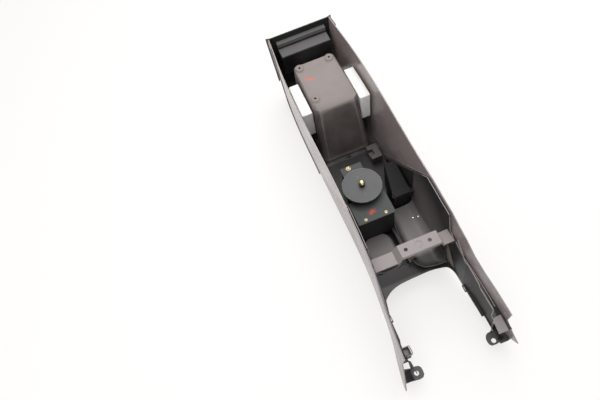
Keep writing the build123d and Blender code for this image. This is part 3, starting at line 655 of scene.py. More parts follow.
def mesh_of(name: str, spots: Spots, edges: list | None = None, faces: list | None = None) -> Mesh:
    """A mesh from places in millimetres.

    Args:
        name: the mesh's name.
        spots: its corners.
        edges: pairs of corners.
        faces: rings of corners.

    Returns:
        The mesh.
    """
    mesh = bpy.data.meshes.new(name)
    mesh.from_pydata([point(*s) for s in spots], edges or [], faces or [])
    return mesh


def line_mesh(name: str, spots: Spots) -> Mesh:
    """A mesh of one line through its corners."""
    return mesh_of(name, spots, [(i, i + 1) for i in range(len(spots) - 1)])


def moved(tree: Tree, shape: Socket, **change: Value) -> Socket:
    """Moves, turns or stretches a shape."""
    return add(tree, "GeometryNodeTransform", {"Geometry": shape, **change}).outputs[0]


def ball_of(tree: Tree, segments: int, rings: int, radius: float, *sizes: Socket) -> Socket:
    """A ball stretched to three sizes.

    Args:
        tree: the geometry tree.
        segments: its sides round.
        rings: its steps from pole to pole.
        radius: the ball's before it is stretched.
        sizes: the stretch across, along and up.

    Returns:
        The shape's socket.
    """
    ball = add(tree, "GeometryNodeMeshUVSphere", {"Segments": segments, "Rings": rings, "Radius": radius})
    form = add(tree, "ShaderNodeCombineXYZ", dict(enumerate(sizes)))
    return moved(tree, ball.outputs[0], Scale=form.outputs[0])


def set_on(tree: Tree, points: Socket, shape: Socket, turn: Value = (0.0, 0.0, 0.0)) -> Socket:
    """Sets a shape on every point."""
    return add(tree, "GeometryNodeInstanceOnPoints",
               {"Points": points, "Instance": shape, "Rotation": turn}).outputs[0]


def even_line(tree: Tree, size: dict) -> Socket:
    """Turns the carrier's line into a curve with points at an even pitch."""
    line = add(tree, "GeometryNodeMeshToCurve", {"Mesh": size["Geometry"]})
    return add(tree, "GeometryNodeResampleCurve", {"Curve": line.outputs[0], "Length": size["Pitch"]},
               mode="LENGTH").outputs[0]


def screw_tree(slot_long: float = 1.05, slot_wide: float = 0.24, washer_wide: float = 1.22,
               washer_thick: float = 0.34) -> Tree:
    """Domed screw heads with a cross recess and a flat washer, one on each carrier point.

    Args:
        slot_long: length of the recess as a share of the head's radius.
        slot_wide: its width as a share of the radius.
        washer_wide: the washer's radius as a share of the head's.
        washer_thick: its thickness as a share of the head's rise.

    Returns:
        The tree.
    """
    tree, size = new_tree("screw_heads", {"Radius": "Float", "Rise": "Float", "Seed": "Int",
                                          "Finish": "Material"})
    radius, rise = size["Radius"], size["Rise"]
    dome = ball_of(tree, 28, 14, 1.0, radius, radius, rise)
    slot_size = add(tree, "ShaderNodeCombineXYZ", {0: math_of(tree, "MULTIPLY", radius, slot_long),
                                                   1: math_of(tree, "MULTIPLY", radius, slot_wide),
                                                   2: rise})
    bar = add(tree, "GeometryNodeMeshCube", {"Size": slot_size.outputs[0]})
    lift = add(tree, "ShaderNodeCombineXYZ", {2: rise})
    along = moved(tree, bar.outputs[0], Translation=lift.outputs[0])
    across = moved(tree, along, Rotation=(0, 0, math.radians(90)))
    head = add(tree, "GeometryNodeMeshBoolean", {"Mesh 1": dome, "Mesh 2": along}, operation="DIFFERENCE")
    tree.links.new(across, head.inputs["Mesh 2"])
    washer = add(tree, "GeometryNodeMeshCylinder",
                 {"Vertices": 32, "Radius": math_of(tree, "MULTIPLY", radius, washer_wide),
                  "Depth": math_of(tree, "MULTIPLY", rise, washer_thick)})
    whole = add(tree, "GeometryNodeJoinGeometry", {"Geometry": washer.outputs[0]})
    tree.links.new(head.outputs[0], whole.inputs["Geometry"])
    turn = add(tree, "FunctionNodeRandomValue", {3: math.tau, "Seed": size["Seed"]}, data_type="FLOAT")
    spin = add(tree, "ShaderNodeCombineXYZ", {2: turn.outputs[1]})
    placed = set_on(tree, size["Geometry"], whole.outputs[0], spin.outputs[0])
    return end_tree(tree, placed, size["Finish"], smooth=False)


def stitch_tree(lean: float = 0.12) -> Tree:
    """Short rounded stitches laid end to end along the carrier's line.

    Args:
        lean: how far a stitch strays from the line, in radians.

    Returns:
        The tree.
    """
    tree, size = new_tree("stitches", {"Pitch": "Float", "Length": "Float", "Thread": "Float",
                                       "Seed": "Int", "Finish": "Material"})
    steps = even_line(tree, size)
    run = add(tree, "GeometryNodeInputTangent")
    stray = add(tree, "FunctionNodeRandomValue", {2: -lean, 3: lean, "Seed": size["Seed"]},
                data_type="FLOAT")
    yaw = add(tree, "ShaderNodeCombineXYZ", {2: stray.outputs[1]})
    facing = add(tree, "FunctionNodeAlignRotationToVector", {"Rotation": yaw.outputs[0],
                                                             "Vector": run.outputs[0]}, axis="X")
    stitch = ball_of(tree, 8, 6, 0.5, size["Length"], size["Thread"], size["Thread"])
    return end_tree(tree, set_on(tree, steps, stitch, facing.outputs[0]), size["Finish"])


def flute_tree() -> Tree:
    """A ring of upright half-round ribs, as a grip has.

    Returns:
        The tree.
    """
    tree, size = new_tree("grip_ribs", {"Count": "Int", "Radius": "Float", "Rib": "Float",
                                        "Rise": "Float", "Centre": "Vector", "Finish": "Material"})
    ring = add(tree, "GeometryNodeMeshCircle", {"Vertices": size["Count"], "Radius": size["Radius"]})
    bar = add(tree, "GeometryNodeMeshCylinder",
              {"Vertices": 12, "Radius": size["Rib"], "Depth": size["Rise"]})
    ribs = moved(tree, set_on(tree, ring.outputs[0], bar.outputs[0]), Translation=size["Centre"])
    return end_tree(tree, ribs, size["Finish"], smooth=False)


def bead_tree() -> Tree:
    """A rolled bead that follows the carrier's line.

    Returns:
        The tree.
    """
    tree, size = new_tree("rolled_beads", {"Pitch": "Float", "Radius": "Float", "Finish": "Material"})
    section = add(tree, "GeometryNodeCurvePrimitiveCircle", {"Resolution": 10, "Radius": size["Radius"]})
    bead = add(tree, "GeometryNodeCurveToMesh",
               {"Curve": even_line(tree, size), "Profile Curve": section.outputs[0], "Fill Caps": True})
    return end_tree(tree, bead.outputs[0], size["Finish"])


def rivet_tree() -> Tree:
    """Low domed rivet heads, one on each carrier point.

    Returns:
        The tree.
    """
    tree, size = new_tree("rivet_heads", {"Radius": "Float", "Rise": "Float", "Finish": "Material"})
    dome = ball_of(tree, 20, 10, 1.0, size["Radius"], size["Radius"], size["Rise"])
    return end_tree(tree, set_on(tree, size["Geometry"], dome), size["Finish"])


def merged_copy(node: str) -> Mesh:
    """Copies a CAD node's mesh and joins its loose triangles.

    Args:
        node: the node's name.

    Returns:
        The copy.
    """
    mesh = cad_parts[node].data.copy()
    form = bmesh.new()
    form.from_mesh(mesh)
    bmesh.ops.remove_doubles(form, verts=form.verts, dist=JOIN_MM * MM)
    return closed(form, mesh)


def closed(form: bmesh.types.BMesh, mesh: Mesh) -> Mesh:
    """Turns a form's faces outwards, writes it to a mesh and frees it.

    Args:
        form: the form.
        mesh: the mesh that takes it.

    Returns:
        The mesh.
    """
    bmesh.ops.recalc_face_normals(form, faces=form.faces)
    form.to_mesh(mesh)
    form.free()
    return mesh


def remeshed(name: str, mesh: Mesh, voxel_mm: float, rounds: int) -> Mesh:
    """Even quads over a solid, with its edges softened."""
    return worked(name, mesh, REMESH={"mode": "VOXEL", "voxel_size": voxel_mm * MM},
                  SMOOTH={"factor": 0.5, "iterations": rounds})


@dataclass(frozen=True)
class Prism:
    """An upright prism: its outline in plan, its foot and its top."""

    outline: tuple[Pair, ...]
    low: float
    high: float

    def add_to(self, form: bmesh.types.BMesh) -> None:
        """Adds the prism's faces to a form.

        Args:
            form: the form that it joins.
        """
        foot, top = ([form.verts.new(point(x, y, z)) for x, y in self.outline]
                     for z in (self.low, self.high))
        form.faces.new(foot[::-1])
        form.faces.new(top)
        for i in range(len(foot)):
            j = (i + 1) % len(foot)
            form.faces.new((foot[i], foot[j], top[j], top[i]))


def box(x: Pair, y: Pair, low: float, high: float) -> Prism:
    """An upright block between two places across and two along."""
    return Prism(((x[0], y[0]), (x[1], y[0]), (x[1], y[1]), (x[0], y[1])), low, high)


def prisms_mesh(name: str, *prisms: Prism) -> Mesh:
    """Joins prisms that are clear of each other in one mesh.

    Args:
        name: the mesh's name.
        prisms: the prisms.

    Returns:
        The mesh.
    """
    form = bmesh.new()
    for prism in prisms:
        prism.add_to(form)
    return closed(form, bpy.data.meshes.new(name))


def cut(name: str, mesh: Mesh, tools: Mesh) -> Mesh:
    """Cuts the tools out of a mesh.

    Args:
        name: the piece's name.
        mesh: a closed mesh.
        tools: closed meshes in one, clear of each other.

    Returns:
        The new mesh.
    """
    cutter = linked(f"{name}_tools", tools)
    result = worked(name, mesh, BOOLEAN={"operation": "DIFFERENCE", "solver": "EXACT", "object": cutter})
    bpy.data.objects.remove(cutter)
    return result


def evened(name: str, mesh: Mesh) -> Mesh:
    """Weighs a mesh's normals by face area, so that large flat faces stay flat beside roundings."""
    return worked(name, mesh, WEIGHTED_NORMAL={"keep_sharp": True, "weight": 90})


def shade(mesh: Mesh, finish: Finish, crease_deg: float | None = None) -> Mesh:
    """Sets a mesh's one material and smooth shading.

    Args:
        mesh: the mesh.
        finish: what it is made of.
        crease_deg: angle past which an edge stays sharp, if any does.

    Returns:
        The mesh.
    """
    mesh.materials.clear()
    mesh.materials.append(finish.material())
    mesh.polygons.foreach_set("use_smooth", [True] * len(mesh.polygons))
    if crease_deg is not None:
        mesh.set_sharp_from_angle(angle=math.radians(crease_deg))
    mesh.update()
    return mesh


def between(stations: tuple[Spot, ...], y: np.ndarray | float, share: np.ndarray | float) -> np.ndarray:
    """Reads a table of stations along the shell."""
    along, foot, rim = (np.array(column) for column in zip(*stations))
    return np.interp(y, along, foot) * (1 - share) + np.interp(y, along, rim) * share


@dataclass(frozen=True)
class Bulge:
    """How far the shell's sides bow out past the solids, at the foot and at the rim of each station."""

    stations: tuple[Spot, ...] = (
        (-523, 3.6, -6.2), (-500, 3.7, -3.9), (-480, 3.7, -1.9), (-460, 3.5, 0.1), (-442, 3.0, 1.8),
        (-420, 2.1, 3.7), (-400, 1.3, 4.8), (-385, 1.0, 5.0), (-360, 1.2, 3.9), (-330, 1.9, 1.4),
        (-310, 2.2, 0.0), (-280, 1.9, -0.6), (-250, 1.1, -0.1), (-228, 0.5, 0.5), (-180, 0.1, 1.1),
        (-120, 0.7, 0.9), (-60, 1.7, 0.5), (0, 2.2, 0.7), (60, 2.1, 1.6), (141, 1.5, 3.0),
        (220, 1.1, 3.7), (300, 1.1, 3.6), (380, 1.0, 2.4), (430, 0.4, 1.0), (466, 0.0, 0.0), (523, 0.0, 0.0))
    start_x: float = 75.0
    full_x: float = 95.0

    def draw_out(self, mesh: Mesh) -> Mesh:
        """Moves a mesh's corners away from the middle.

        Args:
            mesh: the mesh.

        Returns:
            The mesh.
        """
        places = np.empty(len(mesh.vertices) * 3)
        mesh.vertices.foreach_get("co", places)
        spots = places.reshape(-1, 3) / MM
        x, y, z = spots.T
        reach = between(self.stations, y, np.clip(z / SHELL_HEIGHT, 0, 1))
        near = np.clip((np.abs(x) - self.start_x) / (self.full_x - self.start_x), 0, 1)
        spots[:, 0] += np.sign(x) * reach * near * near * (3 - 2 * near)
        mesh.vertices.foreach_set("co", (spots * MM).ravel())
        mesh.update()
        return mesh


def bowed(node: str, finish: Finish, slot: str) -> None:
    """Replaces a wall of the shell by its copy with bowed sides."""
    mesh = shade(Bulge().draw_out(merged_copy(node)), finish, CREASE_DEG)
    new_piece(f"{node}_bowed", evened(node, mesh), Body.CONSOLE, slot, node)


@dataclass
class RearEnd:
    """Side panels, rear panel, stepped housing and tipping ashtray."""

    def build(self) -> None:
        """Bows the side panels and dresses the rest."""
        for node in ("side_panel_left", "side_panel_right"):
            bowed(node, Finish.PANEL, "panel_plastic")
        dress({"rear_panel": Finish.REAR, "rear_housing": Finish.HOUSING, "rear_ashtray": Finish.ASHTRAY})


@dataclass
class StorageBin:
    """The bin with its bosses, and the two foam blocks wedged beside it."""

    voxel_mm: float = 2.2
    smooth_rounds: int = 2
    cut_wave_mm: float = 0.35
    wave_mm: float = 18.0
    squeeze_mm: float = 0.8
    crown_mm: float = 0.4
    inner_x: float = 69.9
    width_mm: float = 37.0
    trim_mm: float = 3.0

    def build(self) -> None:
        """Bows the bin and cuts the foam."""
        bowed("storage_bin", Finish.BIN, "bin_plastic")
        for side in ("left", "right"):
            self.foam(side)

    def foam(self, side: str) -> None:
        """One foam block: cut faces wander a little and its edges are crushed round.

        Args:
            side: left or right.
        """
        node = f"foam_block_{side}"
        mesh = remeshed(node, merged_copy(node), self.voxel_mm, self.smooth_rounds)
        low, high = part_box(node)
        centre = (low + high) / 2
        for corner in mesh.vertices:
            sway = noise.noise(corner.co / (self.wave_mm * MM))
            away = (corner.co - centre).normalized()
            crown = 1 - abs(corner.co.y - centre.y) / (high.y - low.y) * 2
            rise = sway * self.cut_wave_mm - self.squeeze_mm + crown * self.crown_mm
            corner.co += away * rise * MM
            share = (abs(corner.co.x) / MM - self.inner_x) / self.width_mm
            corner.co.x -= math.copysign(self.trim_mm * max(0.0, share) * MM, corner.co.x)
        piece = new_piece(f"foam_cut_{side}", shade(mesh, Finish.FOAM), Body.CONSOLE, "foam", node)


@dataclass
class ArmrestLid:
    """Lid shell, padded cover with its seam, hinge pin and latch."""

    voxel_mm: float = 2.4
    smooth_rounds: int = 3
    least_half_mm: float = 60.0
    same_row_mm: float = 0.6
    edge_roll_mm: float = 5.0
    pull_mm: float = 1.6
    pull_reach_mm: float = 12.0
    seam_z: float = 8.6
    seam_half_mm: float = 1.3
    seam_depth_mm: float = 0.9
    seam_reach_mm: float = 3.0
    pitch_mm: float = 4.6
    stitch_mm: float = 3.4
    thread_mm: float = 0.9
    stitch_inset_mm: float = 0.4
    stitch_drop_mm: float = 3.0
    front_gap_mm: float = 1.5
    hinge_gap_mm: float = 26.0
    line_steps: int = 24

    def build(self) -> None:
        """Dresses the shell and builds the cushion and its stitches."""
        dress({"lid_shell": Finish.LID, "lid_latch": Finish.LATCH, "hinge_pin": Finish.STEEL})
        self.cushion()
        self.stitches()

    def outline(self) -> tuple[tuple[float, ...], tuple[float, ...]]:
        """Half width of the pad along its length, read off the frame's own pad.

        Returns:
            Places along Y and half widths, in millimetres, from the front edge back.
        """
        spots = [v.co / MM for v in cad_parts["lid_pad"].data.vertices]
        places = sorted({round(s.y, 1) for s in spots})
        widths = [(y, max(s.x for s in spots if abs(s.y - y) < self.same_row_mm)) for y in places]
        return tuple(zip(*[(y, w) for y, w in widths if w > self.least_half_mm]))

    def cushion(self) -> None:
        """The pad: flat where it rests, rolled edges, sides pulled in at the seam."""
        mesh = remeshed("lid_cushion", merged_copy("lid_pad"), self.voxel_mm, self.smooth_rounds)
        low, high = (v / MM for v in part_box("lid_pad"))
        reach = self.outline()
        for corner in mesh.vertices:
            x, y, z = corner.co / MM
            gap = min(float(np.interp(y, *reach)) - abs(x), y - low.y)
            roll = max(0.0, 1 - gap / self.edge_roll_mm)
            rise = self.edge_roll_mm * roll ** 2 * max(0.0, 1 - z / high.z)
            seam = math.exp(-((z - self.seam_z) / self.seam_half_mm) ** 2)
            seam *= self.seam_depth_mm * max(0.0, 1 - gap / self.seam_reach_mm)
            middle = math.sin(math.pi * min(1.0, max(0.0, (y - low.y) / (high.y - low.y))))
            pull = self.pull_mm * middle * max(0.0, 1 - gap / self.pull_reach_mm)
            corner.co = point(x - math.copysign(seam + pull, x), y, z + rise)
        mesh = shade(mesh, Finish.LEATHER)
        new_piece("lid_cushion", mesh, Body.LID, "lid_leather", "lid_pad")

    def stitches(self) -> None:
        """Stitches round the two sides and the front, just under the seam."""
        reach = self.outline()
        ends = reach[0][0] + self.front_gap_mm, reach[0][-1] - self.hinge_gap_mm
        z = self.seam_z - self.stitch_drop_mm
        side = []
        for i, y in enumerate(np.linspace(*ends, self.line_steps + 1)):
            pull = self.pull_mm * math.sin(math.pi * i / self.line_steps)
            side.append((float(np.interp(y, *reach)) - self.stitch_inset_mm - pull, float(y), z))
        path = side[::-1] + [(-x, y, z) for x, y, z in side]
        mesh = grown("lid_stitches", stitch_tree(), line_mesh("lid_seam_line", path),
                     {"Pitch": self.pitch_mm * MM, "Length": self.stitch_mm * MM,
                      "Thread": self.thread_mm * MM, "Seed": 7, "Finish": Finish.THREAD.material()})
        new_piece("lid_stitches", mesh, Body.LID, "lid_leather")


@dataclass
class FrontMoulding:
    """The front body with its trims, mounting tabs, tray and cross bracket."""

    # the right leg's tip, the left leg's tip, the gap beside it, the two tabs' places, the well's front
    cuts: tuple[Prism, ...] = (
        Prism(((60, -427), (112.8, -427), (112.6, -445), (112.5, -468), (60, -468)), 20, 96),
        Prism(((-60, -428), (-115, -428), (-121, -453), (-124, -466), (-150, -466), (-150, -507),
               (-60, -507)), 63.5, 262),
        Prism(((-126, -458), (-108.4, -458.5), (-110, -475.5), (-128, -471)), 20, 63),
        box((78, 113), (-469, -512), 20, 108.5),
        box((-78, -113), (-477, -512), 20, 63),
        box((12.2, 94.5), (-233, -224.4), 41.2, 64))
    # each clip's rear and front end along Y and the greatest x of its face
    clips: tuple[Spot, ...] = ((-356, -334, 103.6), (-425, -403, 111.6))
    clip_least_x: float = 90.0
    clip_top_z: float = 41.0
    clip_out_mm: float = 2.6
    edge_x: Pair = (-75.0, 96.0)
    edge_fade_mm: Pair = (50.0, 20.0)
    edge_y: Pair = (-300.0, -255.0)
    edge_run_mm: float = 4.0
    edge_top_z: float = 45.0
    edge_lift_mm: float = 4.0
    fascia_crease_deg: float = 14.0
    tab_right: Prism = Prism(
        ((128, -468), (118, -469), (104, -468.5), (96, -469.5), (91, -473), (87.5, -480), (86.8, -489),
         (88.5, -496), (93, -500.5), (104, -501), (128, -498)), 37.0, 40.0)
    tab_left: Prism = Prism(
        ((-130, -474), (-112, -475.5), (-98, -475), (-90, -477), (-86, -482), (-85, -491), (-86, -500),
         (-91, -505.5), (-100, -507), (-132, -503)), 37.0, 40.0)
    hole_spot: Pair = (102.0, -491.0)
    hole_r: float = 6.0
    hole_sides: int = 32
    hole_over_mm: float = 2.0

    def build(self) -> None:
        """Builds the moulding's pieces in order."""
        for side in ("left", "right"):
            bowed(f"front_trim_{side}", Finish.TRIM, "trim_plastic")
        self.body()
        self.tab("right", 1, self.tab_right)
        self.tab("left", -1, self.tab_left)
        dress({"front_tray": Finish.TRAY, "cross_bracket": Finish.BRACKET})

    def body(self) -> None:
        """Bows the body, draws out its clips and the fascia's edge, and clears the leg tips and the well."""
        mesh = Bulge().draw_out(merged_copy("front_body"))
        (left, right), (near, far), (left_fade, right_fade) = self.edge_x, self.edge_y, self.edge_fade_mm
        for corner in mesh.vertices:
            x, y, z = corner.co / MM
            on_clip = any(rear < y < front and x < face for rear, front, face in self.clips)
            if on_clip and x > self.clip_least_x and z < self.clip_top_z:
                corner.co.x += self.clip_out_mm * MM
            if near < y < far and left < x < right and z < self.edge_top_z:
                fade = min(1.0, (right - x) / right_fade, (x - left) / left_fade)
                corner.co.y -= self.edge_lift_mm * fade * min(1.0, (far - y) / self.edge_run_mm) * MM
        mesh = cut("front_body", mesh, prisms_mesh("front_body_tools", *self.cuts))
        mesh = evened("front_body", shade(mesh, Finish.BODY, self.fascia_crease_deg))
        new_piece("front_body_bowed", mesh, Body.CONSOLE, "body_plastic", "front_body")

    def tab(self, side: str, sign: int, plate: Prism) -> None:
        """One mounting tab with its hole.

        Args:
            side: left or right.
            sign: -1 for the left, 1 for the right.
            plate: the tab without its hole.
        """
        x, y = self.hole_spot
        ring = tuple((sign * x + self.hole_r * math.cos(a), y + self.hole_r * math.sin(a))
                     for a in np.linspace(0, math.tau, self.hole_sides + 1)[:-1])
        hole = Prism(ring, plate.low - self.hole_over_mm, plate.high + self.hole_over_mm)
        mesh = cut(f"tab_{side}", prisms_mesh(f"tab_{side}", plate), prisms_mesh(f"hole_{side}", hole))
        new_piece(f"mount_tab_{side}", shade(mesh, Finish.BODY, CREASE_DEG), Body.CONSOLE, "body_plastic")


@dataclass
class RolledRims:
    """Rolled beads on the trims, walls and slanting seams, on the right leg's ledges and the socket, pale as
    painted highlight.
    """

    # place along, half width of the bowed shell at the foot and at the rim
    stations: tuple[Spot, ...] = (
        (-523, 152.0, 124.5), (-500, 146.0, 125.9), (-480, 140.9, 127.0), (-460, 135.7, 128.2),
        (-442, 131.0, 129.0), (-420, 125.3, 129.8), (-385, 117.5, 129.0), (-360, 113.8, 126.2),
        (-330, 110.7, 121.4), (-310, 109.0, 118.5), (-280, 106.2, 115.7), (-228, 101.5, 113.5),
        (-180, 98.9, 112.2), (-120, 97.6, 111.0), (-60, 97.7, 110.4), (0, 98.4, 110.8), (60, 99.2, 111.9),
        (141, 99.5, 113.0))
    trim_ys: Pair = (-131.0, -482.0)
    trim_inset: Pair = (-3.0, 6.0)
    body_ys: Pair = (-96.0, -440.0)
    body_inset: Pair = (3.0, 12.0)
    ledge: tuple[Spot, ...] = (
        (109.8, -274.5, 183), (105.4, -295.6, 183), (104.8, -325, 158), (107.5, -333, 158),
        (106.2, -387.5, 158), (109, -390, 141), (110, -450, 141), (107.0, -453, 113), (106.2, -475, 113))
    socket: tuple[Spot, ...] = (
        (-112, -429.5, 62), (-92.6, -429.5, 62), (-92.2, -452.4, 62), (-108, -452.4, 62))
    seam: tuple[Pair, ...] = ((139.0, 26.0), (-129.5, 258.5))
    seam_r: float = 1.5
    trim_r: float = 1.3
    body_r: float = 1.2
    pitch_mm: float = 6.0
    seam_in_mm: float = 1.9
    seam_steps: int = 24
    small_r: float = 1.3
    socket_floor: Prism = box((-111, -94), (-450, -432), 52, 54)
    rows: int = 90
    rays: int = 15
    ray_z: float = 300.0
    wall_z: float = 220.0
    flat_mm: float = 0.6

    def half(self, y: float, z: float) -> float:
        """Half width of the shell at a place along and a height."""
        return float(between(self.stations, y, z / SHELL_HEIGHT))

    def line(self, piece: str, span: Pair, inset: Pair, sign: int) -> list[Spot]:
        """The top of a wall on one side, found by rays from above.

        Args:
            piece: the piece whose wall it is.
            span: where the line starts and ends along Y.
            inset: least and most distance of the wall inside the shell's outer face.
            sign: 1 for the right, -1 for the left.

        Returns:
            Places in millimetres.
        """
        mesh = bpy.data.objects[piece].data
        tree = BVHTree.FromPolygons([v.co for v in mesh.vertices], [p.vertices for p in mesh.polygons])
        path = []
        for y in np.linspace(*span, self.rows):
            hits = []
            for inwards in np.linspace(*inset, self.rays):
                x = self.half(y, self.wall_z) - inwards
                spot = tree.ray_cast(point(sign * x, y, self.ray_z), Vector((0, 0, -1)))[0]
                if spot is not None:
                    hits.append((spot.z / MM, x))
            if hits:
                top = max(z for z, _ in hits)
                wall = [x for z, x in hits if z > top - self.flat_mm]
                path.append((sign * sum(wall) / len(wall), float(y), top))
        return path

    def build(self) -> None:
        """Grows the beads and sets the socket's floor."""
        tree = bead_tree()
        seam = np.linspace(*self.seam, self.seam_steps)
        for side, sign in (("left", -1), ("right", 1)):
            trim = self.line(f"front_trim_{side}_bowed", self.trim_ys, self.trim_inset, sign)
            self.bead(tree, f"trim_bead_{side}", trim, self.trim_r, "trim_plastic")
            wall = self.line("front_body_bowed", self.body_ys, self.body_inset, sign)
            self.bead(tree, f"body_bead_{side}", wall, self.body_r, "body_plastic")
            cord = [(sign * (self.half(y, z) - self.seam_in_mm), y, z) for y, z in seam]
            self.bead(tree, f"seam_cord_{side}", cord, self.seam_r, "body_plastic")
        self.bead(tree, "ledge_bead", self.ledge, self.small_r, "body_plastic")
        self.bead(tree, "socket_bead", self.socket, self.small_r, "body_plastic")
        floor = shade(prisms_mesh("socket_floor", self.socket_floor), Finish.WELL, CREASE_DEG)
        new_piece("socket_floor", floor, Body.CONSOLE, "body_plastic")

    def bead(self, tree: Tree, name: str, path: Spots, radius: float, slot: str) -> None:
        """Grows one bead along a path."""
        mesh = grown(name, tree, line_mesh(f"{name}_line", path),
                     {"Pitch": self.pitch_mm * MM, "Radius": radius * MM, "Finish": Finish.RIM_PAINTED_HIGHLIGHT.material()})
        new_piece(name, mesh, Body.CONSOLE, slot)


@dataclass
class Well:
    """The dished well: a smooth bowl with a rolled lip, and two rivets in it."""

    rim: tuple[Pair, ...] = (
        (24.0, -66.0), (21.0, -98.0), (16.0, -130.0), (12.0, -166.0), (13.0, -200.0), (16.0, -224.0),
        (20.0, -243.0), (35.0, -258.0), (56.0, -264.0), (84.0, -266.5), (94.0, -267.0))
    wall_x: float = 94.2
    rear_y: float = -66.0
    rim_z: float = 61.0
    floor_z: float = 43.5
    cove_mm: float = 24.0
    rise_mm: float = 26.0
    thick_mm: float = 1.4
    rows: int = 48
    columns: int = 36
    rivets: tuple[Pair, ...] = ((76.0, -107.0), (88.0, -113.0))
    rivet_r: float = 3.9
    rivet_rise: float = 2.4
    rear_share: float = 0.5
    rear_run_mm: float = 70.0
    wall_run_mm: float = 26.0
    lip_run_mm: float = 20.0
    crease_deg: float = 50.0

    def depth(self, gap: float, span: float) -> float:
        """Share of the full depth at a distance from an edge, as a quarter round gives it."""
        run = min(1.0, max(0.0, gap / span))
        return math.sqrt(max(0.0, 1 - (1 - run) ** 2))

    def height(self, x: float, y: float) -> float:
        """Height of the bowl at a place.

        Args:
            x: place across, in millimetres.
            y: place along.

        Returns:
            The height in millimetres.
        """
        gap = self.gap(x, y)
        down = (self.rim_z - self.floor_z) * self.depth(gap, self.cove_mm)
        down *= 1 - self.rear_share * (1 - self.depth(self.rear_y - y, self.rear_run_mm))
        up = self.rise_mm * (1 - self.depth(self.wall_x - x, self.wall_run_mm))
        return self.rim_z - down + up * min(1.0, gap / self.lip_run_mm)

    def gap(self, x: float, y: float) -> float:
        """Least distance of a place from the left and front rim.

        Args:
            x: place across, in millimetres.
            y: place along.

        Returns:
            The distance in millimetres.
        """
        spots = np.array(self.rim)
        start, run = spots[:-1], spots[1:] - spots[:-1]
        share = np.clip(((np.array((x, y)) - start) * run).sum(1) / (run * run).sum(1), 0, 1)
        return float(np.hypot(*(start + run * share[:, None] - (x, y)).T).min())

    def sheet(self) -> Mesh:
        """The bowl's upper face, in rows of quads that close up towards the front.

        Returns:
            The mesh.
        """
        xs, ys = zip(*self.rim)
        wide = self.columns + 1
        spots = []
        for i in range(self.rows + 1):
            y = self.rear_y + (ys[-1] - self.rear_y) * math.sin(math.pi / 2 * i / self.rows)
            left = float(np.interp(y, ys[::-1], xs[::-1]))
            spots += [(x, y, self.height(x, y)) for x in np.linspace(left, self.wall_x, wide)]
        faces = [(k, k + wide, k + wide + 1, k + 1) for i in range(self.rows)
                 for k in range(i * wide, i * wide + self.columns)]
        return mesh_of("well_sheet", spots, faces=faces)

    def build(self) -> None:
        """Builds the bowl and its rivets."""
        mesh = worked("well", self.sheet(), SOLIDIFY={"thickness": self.thick_mm * MM, "offset": -1.0})
        new_piece("well_bowl", shade(mesh, Finish.WELL, self.crease_deg), Body.CONSOLE, "body_plastic")
        spots = [(x, y, self.height(x, y)) for x, y in self.rivets]
        mesh = grown("well_rivets", rivet_tree(), mesh_of("rivet_spots", spots),
                     {"Radius": self.rivet_r * MM, "Rise": self.rivet_rise * MM,
                      "Finish": Finish.PIP.material()})
        new_piece("well_rivets", mesh, Body.CONSOLE, "spindle_steel")


@dataclass(frozen=True)
class ScrewHeads:
    """The heads of one node's screws: where they sit, their radius and their rise."""

    node: str
    spots: tuple[Pair, ...]
    radius: float
    rise: float
    seed: int

    def build(self, tree: Tree, z: float) -> None:
        """Grows turned screws in place of the plain heads.

        Args:
            tree: the screws' geometry tree.
            z: height of the face that they sit on.
        """
        carrier = mesh_of(f"{self.node}_spots", [(x, y, z) for x, y in self.spots])
        mesh = grown(self.node, tree, carrier,
                     {"Radius": self.radius * MM, "Rise": self.rise * MM, "Seed": self.seed,
                      "Finish": Finish.BRASS.material()})
        new_piece(f"{self.node}_turned", mesh, Body.CONSOLE, "screw_brass", self.node)


@dataclass
class RotaryDrive:
    """Plate, disc on its spindle, cap nut, screws and the knob on the hidden side."""

    centre: Pair = (-33.8, -26.0)
    knob_r: float = 24.0
    knob_z: Pair = (9.5, 23.4)
    grip_count: int = 48
    grip_r: float = 0.9
    plate_z: float = 150.0
    screws: tuple[ScrewHeads, ...] = (
        ScrewHeads("plate_screw_large", ((-41.8, 53.0),), 5.2, 3.6, 3),
        ScrewHeads("plate_screws_small", ((-62.3, -114.0), (-5.3, -114.0)), 3.3, 2.2, 5))

    def build(self) -> None:
        """Dresses the drive and builds its screws and grip."""
        dress({"drive_housing": Finish.DRIVE_HOUSING, "drive_plate": Finish.PLATE,
               "drive_disc": Finish.DISC, "spindle": Finish.STEEL, "cap_nut": Finish.NUT,
               "bush_upper": Finish.BRASS, "bush_lower": Finish.BRASS, "rotary_knob": Finish.KNOB})
        tree = screw_tree()
        for heads in self.screws:
            heads.build(tree, self.plate_z)
        self.grip()

    def grip(self) -> None:
        """Grows the ribs of the knob's grip."""
        low, high = self.knob_z
        mesh = grown("knob_grip", flute_tree(), mesh_of("knob_spot", [(0, 0, 0)]),
                     {"Count": self.grip_count, "Radius": self.knob_r * MM, "Rib": self.grip_r * MM,
                      "Rise": (high - low) * MM, "Centre": point(*self.centre, (low + high) / 2),
                      "Finish": Finish.KNOB.material()})
        new_piece("knob_grip", mesh, Body.DRIVE, "knob_plastic")


@dataclass
class BesideDrive:
    """The accessory box and the hook block on the deck."""

    def build(self) -> None:
        """Dresses both."""
        dress({"accessory_box": Finish.BOX, "hook_block": Finish.HOOK})


